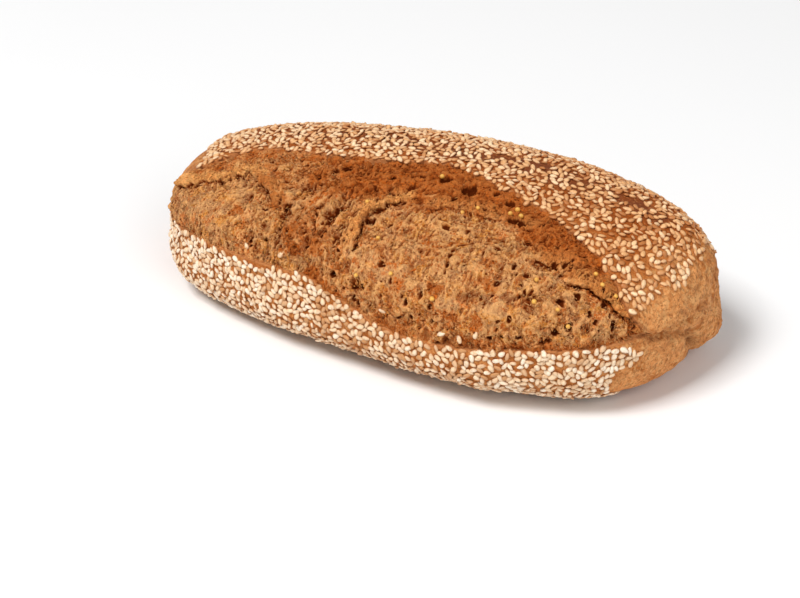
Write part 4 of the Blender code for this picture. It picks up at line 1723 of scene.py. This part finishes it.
        # hollow carries the painted shade of the low places, grooves and pores, and the painted
        # highlight of the crests.
        values = {
            name: np.concatenate([value, filler], axis=1)[:, ::-1]
            for name, value in (("toast", self.toast(outer, along, turn)),
                                ("hollow", self.hollows(outer)), ("edge", outer["edge"]),
                                ("rough", outer["rough"]))
        }
        material = CrumbFinish().material()
        ends = np.linspace(0, self.rings - 1, self.pieces + 1).astype(int)
        items = []
        for number, (start, end) in enumerate(zip(ends[:-1], ends[1:])):
            item = make_tube(f"burst_crumb_{number}", points[start:end + 1])
            for name, value in values.items():
                set_attribute(item, name, add_ends(value[start:end + 1]))
            item.data.materials.append(material)
            items.append(item)
        return items


# ---- seeds and grains


def grain_template(rings: int, columns: int) -> tuple[Array, Array]:
    """Make a ball of radius one, with its poles on X.

    Args:
        rings: how many rings of points it has between the poles.
        columns: how many points a ring has.

    Returns:
        The points, and the corners of the triangles.
    """
    lat = np.linspace(-math.pi / 2, math.pi / 2, rings + 2)[1:-1]
    lon = np.linspace(0, 2 * math.pi, columns, endpoint=False)
    ring = np.stack(np.broadcast_arrays(
        np.sin(lat)[:, None], np.cos(lat)[:, None] * np.cos(lon),
        np.cos(lat)[:, None] * np.sin(lon)), axis=-1).reshape(-1, 3)
    points = np.concatenate([ring, [[-1.0, 0, 0], [1.0, 0, 0]]])
    sides, low, high = ring_faces(rings, columns)
    halves = np.concatenate([sides[:, [0, 1, 2]], sides[:, [0, 2, 3]]])
    return points, np.concatenate([halves, low, high])


def stamp_grains(name: str, shape: Array, faces: Array, places: Array,
                 axes: Array) -> bpy.types.Object:
    """Make one mesh of many grains.

    Args:
        name: the piece's name.
        shape: grains by points by 3, each grain in its own axes, in millimetres.
        faces: the triangles of one grain.
        places: the grains' middles, in millimetres.
        axes: grains by 3 by 3, the directions of each grain's own X, Y and Z.

    Returns:
        The new object.
    """
    points = np.einsum("gpi,gij->gpj", shape, axes) + places[:, None]
    count, size = shape.shape[:2]
    offsets = (np.arange(count) * size)[:, None, None]
    loops = (faces[None] + offsets).ravel()
    sizes = np.full(count * len(faces), 3)
    return make_object(name, points.reshape(-1, 3) * MM, loops, sizes)


@dataclass
class Places:
    """Where seeds lie: x, turn, the spin of the long axis, the points and the normals."""

    x: Array
    turn: Array
    spin: Array
    points: Array
    normals: Array


@dataclass(kw_only=True)
class SeedBed:
    """Sesame seeds laid on one zone of the crust, which a class of its own describes."""

    crust: Crust
    name: str
    roast: Roast
    count: int
    x_range: Pair
    turn_range: Pair
    seed: int
    overlap: float
    length: float = 3.6
    width: float = 2.35
    thickness: float = 1.3
    tilt: float = 0.26
    tries_each: int = 14
    edge_size: float = 12.0
    probe: float = 0.4
    lift: Pair = (0.10, 0.42)
    unevenness: float = 0.09

    def wanted(self, x: Array, turn: Array) -> Array:
        """Return the share of the places that take a seed, from 0 to 1."""
        raise NotImplementedError

    def browning(self, places: Places) -> Array:
        """Return how much browner than usual the seeds are at each place."""
        raise NotImplementedError

    def choose(self) -> tuple[Array, Array, Array]:
        """Pick places at which the seeds hardly overlap, by trying them in turn.

        Each seed is held to be two discs on its long axis. A try is kept when its discs
        clear those of the seeds already kept in the cubes about it.

        Returns:
            x, turn and spin of the seeds.
        """
        rng = np.random.default_rng(self.seed)
        tries = self.count * self.tries_each
        x = rng.uniform(*self.x_range, tries)
        turn = np.radians(rng.uniform(*self.turn_range, tries))
        spin = rng.uniform(0, math.pi * 2, tries)
        keep = rng.uniform(0, 1, tries) < self.wanted(x, turn)
        x, turn, spin = x[keep], turn[keep], spin[keep]
        points = self.crust.form.plain(x, turn)
        normals, tangents = self.crust.form.directions(x, turn)
        side = np.cross(tangents, normals)
        axis = tangents * np.cos(spin)[:, None] + side * np.sin(spin)[:, None]
        reach = (self.length - self.width) / 2
        discs = np.stack([points - axis * reach, points + axis * reach], axis=1)
        clear = (self.width * self.overlap) ** 2
        cell = np.floor(points / self.length).astype(int)
        taken: dict[tuple[int, int, int], list[int]] = {}
        chosen: list[int] = []
        steps = [np.array(s) - 1 for s in np.ndindex(3, 3, 3)]
        for index, home in enumerate(cell):
            near = [i for s in steps for i in taken.get(tuple(home + s), ())]
            if near:
                gaps = discs[near][:, :, None] - discs[index][None, None]
                if (np.einsum("nijk,nijk->nij", gaps, gaps) < clear).any():
                    continue
            taken.setdefault(tuple(home), []).append(index)
            chosen.append(index)
            if len(chosen) == self.count:
                break
        picked = np.array(chosen)
        return x[picked], turn[picked], spin[picked]

    def places(self) -> Places:
        """Lay the chosen places on the crust.

        The normals come from the differences of the crust a small step onwards.

        Returns:
            Where the seeds lie.
        """
        x, turn, spin = self.choose()
        points = self.crust.surface(x, turn)["points"]
        along = self.crust.surface(x + self.probe, turn)["points"]
        around = self.crust.surface(x, turn + self.probe / 60)["points"]
        return Places(x, turn, spin, points, unit(np.cross(around - points, along - points)))

    def hull(self, ball: Array) -> Array:
        """Shape a seed: a ball narrowed and flattened towards +X, its pointed end.

        Args:
            ball: the points of a ball of radius one.

        Returns:
            The seed's points.
        """
        hull = ball.copy()
        hull[:, 1] *= 1.02 - 0.26 * ball[:, 0] - 0.06 * ball[:, 0] ** 2
        hull[:, 2] *= 1 - 0.2 * ball[:, 0]
        return hull

    def build(self) -> bpy.types.Object:
        """Lay the seeds, each tilted and sized a little by chance, and dress them.

        Returns:
            The mesh of all the seeds of this bed.
        """
        places = self.places()
        rng = np.random.default_rng(self.seed + 1)
        count = len(places.x)
        normals = unit(places.normals + rng.normal(0, self.tilt, (count, 3)))
        _, tangents = self.crust.form.directions(places.x, places.turn)
        tangents = unit(tangents - normals * (tangents * normals).sum(-1, keepdims=True))
        side = np.cross(tangents, normals)
        long_axis = tangents * np.cos(places.spin)[:, None] + side * np.sin(places.spin)[:, None]
        axes = np.stack([long_axis, np.cross(normals, long_axis), normals], axis=1)

        ball, faces = grain_template(4, 6)
        hull = self.hull(ball)
        size = np.clip(rng.normal(1.0, self.unevenness, (count, 3)), 0.75, 1.25)
        size *= np.array([self.length, self.width, self.thickness]) / 2
        lift = rng.uniform(*self.lift, count)[:, None] * self.thickness
        middles = places.points + normals * lift
        item = stamp_grains(self.name, hull[None] * size[:, None], faces, middles, axes)
        tone = np.clip(rng.beta(1.4, 2.0, count) + self.browning(places), 0, 1)
        set_attribute(item, "tone", np.repeat(tone, len(hull)))
        set_attribute(item, "tip", np.tile(smooth_step(0.5, 1.0, ball[:, 0]), count))
        # Painted shadow: the lower half of each seed is darkened where it meets the crust.
        set_attribute(item, "rim", np.tile(smooth_step(0.5, -0.3, ball[:, 2]), count))
        item.data.materials.append(SeedFinish(self.roast).material())
        return item


@dataclass(kw_only=True)
class TopSeeds(SeedBed):
    """The toasted seeds over the top and the back, up to the upper lip.

    The bounds give the last x with seeds at each section angle in degrees.
    """

    name: str = "top_sesame"
    roast: Roast = Roast.TOASTED
    count: int = 4700
    x_range: Pair = (-122, 122)
    turn_range: Pair = (-24, 172)
    seed: int = 4
    overlap: float = 0.66
    thickness: float = 1.25
    right_bound: tuple[Pair, ...] = (
        (0, 117), (90, 121), (119, 121), (128, 120.5), (134, 118), (139, 116), (145, 115),
        (149, 113.5), (151, 109), (153, 100),
    )
    left_bound: tuple[Pair, ...] = ((0, -112), (90, -121), (100, -121), (119, -112), (125, -107))
    edge_scale: float = 0.75
    bare_ridge: float = 0.97
    sparse_patches: float = 0.55

    def wanted(self, x: Array, turn: Array) -> Array:
        """Return the share of the places that take a seed.

        It is 1 between the bounds, the upper lip and the bare foot. The dark line along
        the ridge is all but bare, and patches behind the lip at the right are thin.

        Args:
            x: millimetres along the loaf.
            turn: section angles in radians.

        Returns:
            A share from 0 to 1 for each place.
        """
        form = self.crust.form
        plain = form.plain(x, turn)
        wobble = SEED_EDGES.layered(plain, self.edge_size, 2)
        degrees = np.degrees(turn)
        edge = (form.lips(x)[0] - turn) * form.front_width * self.edge_scale
        share = smooth_step(-0.9, -0.1, edge + 0.6 * wobble)
        swayed = x + 2 * wobble
        share *= smooth_step(1.0, -1.0, swayed - read_line(self.right_bound, degrees))
        share *= smooth_step(-1.0, 1.0, swayed - read_line(self.left_bound, degrees))
        dark = bell(plain[..., 1] - form.ridge_y + 1.5, 5.5)
        dark *= smooth_step(-0.15, 0.2, BARE_RIDGE.smooth(plain * (0.5, 1.0, 1.0), 9.0))
        share *= 1 - self.bare_ridge * dark * smooth_step(-5.0, 20.0, x)
        patchy = smooth_step(0.1, -0.5, SEED_PATCHES.smooth(plain, 11.0))
        patchy = self.sparse_patches * patchy * smooth_step(0.0, 60.0, x)
        share *= 1 - patchy * smooth_step(10.0, 22.0, edge)
        return share * smooth_step(10.0, 22.0, plain[..., 2] + 2 * wobble)

    def browning(self, places: Places) -> Array:
        """Return how much browner the seeds are: more so high up and at the right."""
        high = smooth_step(42.0, 64.0, places.points[:, 2])
        return 0.2 * smooth_step(0.0, 90.0, places.x) * high


@dataclass(kw_only=True)
class StripSeeds(SeedBed):
    """The pale seeds on the strip below the tear, and those that strayed onto the crumb.

    The corner gives the first section angle with seeds, in degrees, near the right end.
    """

    crumb: Crumb
    name: str = "strip_sesame"
    roast: Roast = Roast.PALE
    count: int = 3600
    x_range: Pair = (-118, 117)
    turn_range: Pair = (168, 232)
    seed: int = 3
    overlap: float = 0.62
    corner: tuple[Pair, ...] = ((95, 160), (101, 174), (107, 177), (114, 181.5))
    edge_scale: float = 0.5
    left_end: Pair = (-111.0, -108.0)
    right_end: float = 115.0
    sparse_share: float = 0.95
    strays: tuple[Pair, ...] = (
        (18, 177), (45, 181), (60, 175), (53, 181), (-54, 163), (-34, 161),
    )

    def wanted(self, x: Array, turn: Array) -> Array:
        """Return the share of the places that take a seed.

        It is 1 below the lower lip and its bare edge, between the ends and above the
        foot. Small patches about the middle of the strip are thin.

        Args:
            x: millimetres along the loaf.
            turn: section angles in radians.

        Returns:
            A share from 0 to 1 for each place.
        """
        form = self.crust.form
        plain = form.plain(x, turn)
        wobble = SEED_EDGES.layered(plain, self.edge_size, 2)
        degrees = np.degrees(turn)
        edge = (turn - form.lips(x)[1]) * form.front_width * self.edge_scale
        end = self.right_end - 9.0 * smooth_step(183.0, 214.0, degrees)
        bare = 0.3 + 2.4 * bell(x + 55.0, 22.0)
        share = smooth_step(-0.6, 0.2, edge + 0.4 * wobble - bare)
        sparse = smooth_step(-0.1, 0.3, SPARSE.smooth(plain, 5.0))
        share *= 1 - self.sparse_share * bell(x - 10.0, 62.0) * sparse
        share *= smooth_step(end + 1.0, end - 1.5, x + wobble)
        share *= smooth_step(-0.8, 0.8, degrees - read_line(self.corner, x))
        share *= smooth_step(*self.left_end, x + 2 * wobble)
        return share * smooth_step(2.0, 3.5, plain[..., 2])

    def browning(self, places: Places) -> Array:
        """Return how much browner the seeds are: most in the middle of the strip."""
        return 0.3 * bell(places.x - 15.0, 60.0)

    def places(self) -> Places:
        """Lay the seeds on the strip, then the strays on the crumb.

        Returns:
            Where the seeds lie.
        """
        bed = super().places()
        x, degrees = np.array(self.strays, dtype=float).T
        turn = np.radians(degrees)
        crumb = self.crumb.surface(x, turn)
        return Places(
            np.concatenate([bed.x, x]), np.concatenate([bed.turn, turn]),
            np.concatenate([bed.spin, x]), np.concatenate([bed.points, crumb["points"]]),
            np.concatenate([bed.normals, crumb["normals"]]),
        )


@dataclass
class Flakes:
    """Torn scraps that stand up from the crumb, their half sizes in millimetres."""

    crumb: Crumb
    count: int = 5200
    seed: int = 91
    left_margin: float = 15
    right_margin: float = 3
    smallest: Triple = (0.4, 0.14, 0.08)
    largest: Triple = (1.7, 0.5, 0.26)
    bend: float = 0.25
    tilt: float = 0.45
    twist: float = 0.9
    lift: Pair = (-0.1, 0.3)

    def build(self) -> bpy.types.Object:
        """Lay the scraps and dress them like the crumb.

        A scrap is a ball flattened and drawn out, bent, tilted and laid at random.

        Returns:
            The mesh of all the scraps.
        """
        rng = np.random.default_rng(self.seed)
        form, count = self.crumb.form, self.count
        first, last = self.crumb.first + self.left_margin, self.crumb.last - self.right_margin
        x = rng.uniform(first, last, count)
        upper, lower = form.lips(x)
        turn = upper + (lower - upper) * rng.uniform(0.02, 0.98, count)
        surface = self.crumb.surface(x, turn)
        keep = rng.uniform(0, 1, count) < 0.25 + 0.75 * surface["rough"]
        normals = unit(surface["normals"] + rng.normal(0, self.tilt, (count, 3)))
        _, tangents = form.directions(x, turn)
        tangents = unit(tangents + rng.normal(0, self.twist, (count, 3)))
        tangents = unit(tangents - normals * (tangents * normals).sum(-1, keepdims=True))
        axes = np.stack([tangents, np.cross(normals, tangents), normals], axis=1)
        ball, faces = grain_template(2, 5)
        size = rng.uniform(self.smallest, self.largest, (count, 3))
        shapes = ball[None] * size[:, None]
        shapes[..., 2] += self.bend * shapes[..., 0] ** 2
        lift = rng.uniform(*self.lift, (count, 1))
        places = surface["points"] + surface["normals"] * lift
        item = stamp_grains("crumb_scraps", shapes[keep], faces, places[keep], axes[keep])
        toast = self.crumb.toast(surface, x, turn) + rng.normal(0, 0.3, count)
        # A random share of the crumb's painted shade for each scrap: low shares take its painted
        # highlight, higher ones its painted shade.
        hollow = rng.uniform(0.0, 0.4, count)
        for name, values in (("toast", toast), ("hollow", hollow), ("edge", surface["edge"])):
            set_attribute(item, name, np.repeat(values[keep], len(ball)))
        item.data.materials.append(bpy.data.materials["torn_crumb"])
        return item


@dataclass
class Millet:
    """Round yellow grains of millet caught in the crumb, some at places of their own."""

    crumb: Crumb
    diameter: float = 2.0
    unevenness: Pair = (0.85, 1.1)
    lift: float = 0.6
    seed: int = 77
    scattered: int = 5
    scattered_x: Pair = (-45, 110)
    scattered_turn: Pair = (124, 170)
    places: tuple[Pair, ...] = (
        (11, 107), (32, 121), (38, 119), (51, 117), (55, 116), (52, 114), (-1, 122),
        (20, 155), (79, 151), (88, 153), (93, 161), (95, 132), (99, 137), (105, 141),
    )

    def build(self) -> bpy.types.Object:
        """Set the grains half into the crumb, over its pores, and dress them.

        Returns:
            The mesh of all the grains.
        """
        rng = np.random.default_rng(self.seed)
        x, degrees = np.array(self.places, dtype=float).T
        x = np.concatenate([x, rng.uniform(*self.scattered_x, self.scattered)])
        degrees = np.concatenate([degrees, rng.uniform(*self.scattered_turn, self.scattered)])
        turn = np.radians(degrees)
        surface = self.crumb.surface(x, turn)
        count = len(x)
        size = self.diameter / 2 * rng.uniform(*self.unevenness, count)
        ball, faces = grain_template(7, 12)
        shapes = ball[None] * size[:, None, None]
        axes = np.broadcast_to(np.eye(3), (count, 3, 3))
        lift = surface["normals"] * (surface["pores"] + self.lift)[:, None]
        item = stamp_grains("millet", shapes, faces, surface["points"] + lift, axes)
        finish = PlainFinish("millet_hull", (0.80, 0.43, 0.075), (0.62, 0.27, 0.05), 0.38, 0.8)
        item.data.materials.append(finish.material())
        return item


# ---- studio


@dataclass(frozen=True)
class SoftBox:
    """A square soft light: its azimuth and elevation, and its sizes in millimetres."""

    angles: Pair
    distance: float
    size: float
    power: float


class Lamp(Enum):
    """The studio's lights."""

    KEY = SoftBox((-22.0, 58.0), 3000.0, 1100.0, 76.0)
    FILL = SoftBox((62.0, 35.0), 3000.0, 2000.0, 30.0)


@dataclass(frozen=True)
class Studio:
    """A pale floor, soft lights and the camera, all placed about the target."""

    distance: float = 899.0
    azimuth: float = 30.2
    elevation: float = 30.02
    target: Triple = (-12.2, -0.35, 0.0)
    lens: float = 91.0
    sensor_width: float = 36.0
    floor_size: float = 8.0
    floor_color: Color = (0.915, 0.915, 0.915)
    floor_shade: Color = (0.905, 0.905, 0.905)
    sky_strength: float = 0.30

    def place(self, azimuth: float, elevation: float, distance: float) -> Vector:
        """Return a place in metres, seen from the target.

        Args:
            azimuth: degrees from -Y towards +X.
            elevation: degrees above the floor.
            distance: millimetres from the target.

        Returns:
            The place in metres.
        """
        turn, rise = math.radians(azimuth), math.radians(elevation)
        away = Vector((
            math.sin(turn) * math.cos(rise), -math.cos(turn) * math.cos(rise), math.sin(rise),
        ))
        return (Vector(self.target) + away * distance) * MM

    def aim(self, item: bpy.types.Object) -> None:
        """Turn a camera or a light towards the target."""
        away = item.location - Vector(self.target) * MM
        item.rotation_euler = away.to_track_quat("Z", "Y").to_euler()

    def build_camera(self) -> None:
        """Make the camera at the photograph's angle."""
        data = bpy.data.cameras.new("camera")
        data.lens = self.lens
        data.sensor_width = self.sensor_width
        item = bpy.data.objects.new("camera", data)
        item.location = self.place(self.azimuth, self.elevation, self.distance)
        self.aim(item)
        bpy.context.scene.collection.objects.link(item)
        bpy.context.scene.camera = item

    def build_light(self, name: str, box: SoftBox) -> None:
        """Make one soft light, turned towards the target.

        Args:
            name: the light's name.
            box: its place, size and power.
        """
        data = bpy.data.lights.new(name, "AREA")
        data.size = box.size * MM
        data.energy = box.power
        item = bpy.data.objects.new(name, data)
        item.location = self.place(*box.angles, box.distance)
        self.aim(item)
        bpy.context.scene.collection.objects.link(item)

    def build_floor(self) -> None:
        """Make the pale floor under the loaf."""
        bpy.ops.mesh.primitive_plane_add(size=self.floor_size, location=(0, 0, 0))
        floor = bpy.context.object
        floor.name = "floor"
        finish = PlainFinish("pale_floor", self.floor_color, self.floor_shade, 0.9, 400.0)
        floor.data.materials.append(finish.material())

    def build(self) -> None:
        """Set up the floor, the lights, the sky and the camera."""
        self.build_floor()
        for lamp in Lamp:
            self.build_light(lamp.name.lower(), lamp.value)
        world = bpy.data.worlds.new("studio")
        world.use_nodes = True
        sky = world.node_tree.nodes["Background"]
        sky.inputs["Color"].default_value = (1.0, 1.0, 1.0, 1.0)
        sky.inputs["Strength"].default_value = self.sky_strength
        bpy.context.scene.world = world
        bpy.context.scene.view_settings.view_transform = "Standard"
        self.build_camera()


# ---- putting it together


def keep(item: bpy.types.Object) -> None:
    """Let a piece ride on the loaf's body, and stand for the plain loaf.

    Args:
        item: the piece.
    """
    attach(item, BODY)
    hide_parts(NODE)
    LOG.info("%s: %d faces", item.name, len(item.data.polygons))


def main() -> None:
    """Build the loaf, its seeds and the studio."""
    logging.basicConfig(level=logging.INFO, format="%(name)s: %(message)s")
    form = LoafForm()
    relief = Relief(form)
    crust = Crust(form, relief)
    crumb = Crumb(form, relief)
    keep(crust.build())
    for item in crumb.build():
        keep(item)
    keep(Flakes(crumb).build())
    keep(StripSeeds(crust=crust, crumb=crumb).build())
    keep(TopSeeds(crust=crust).build())
    keep(Millet(crumb).build())
    Studio().build()


if __name__ == "__main__":
    main()
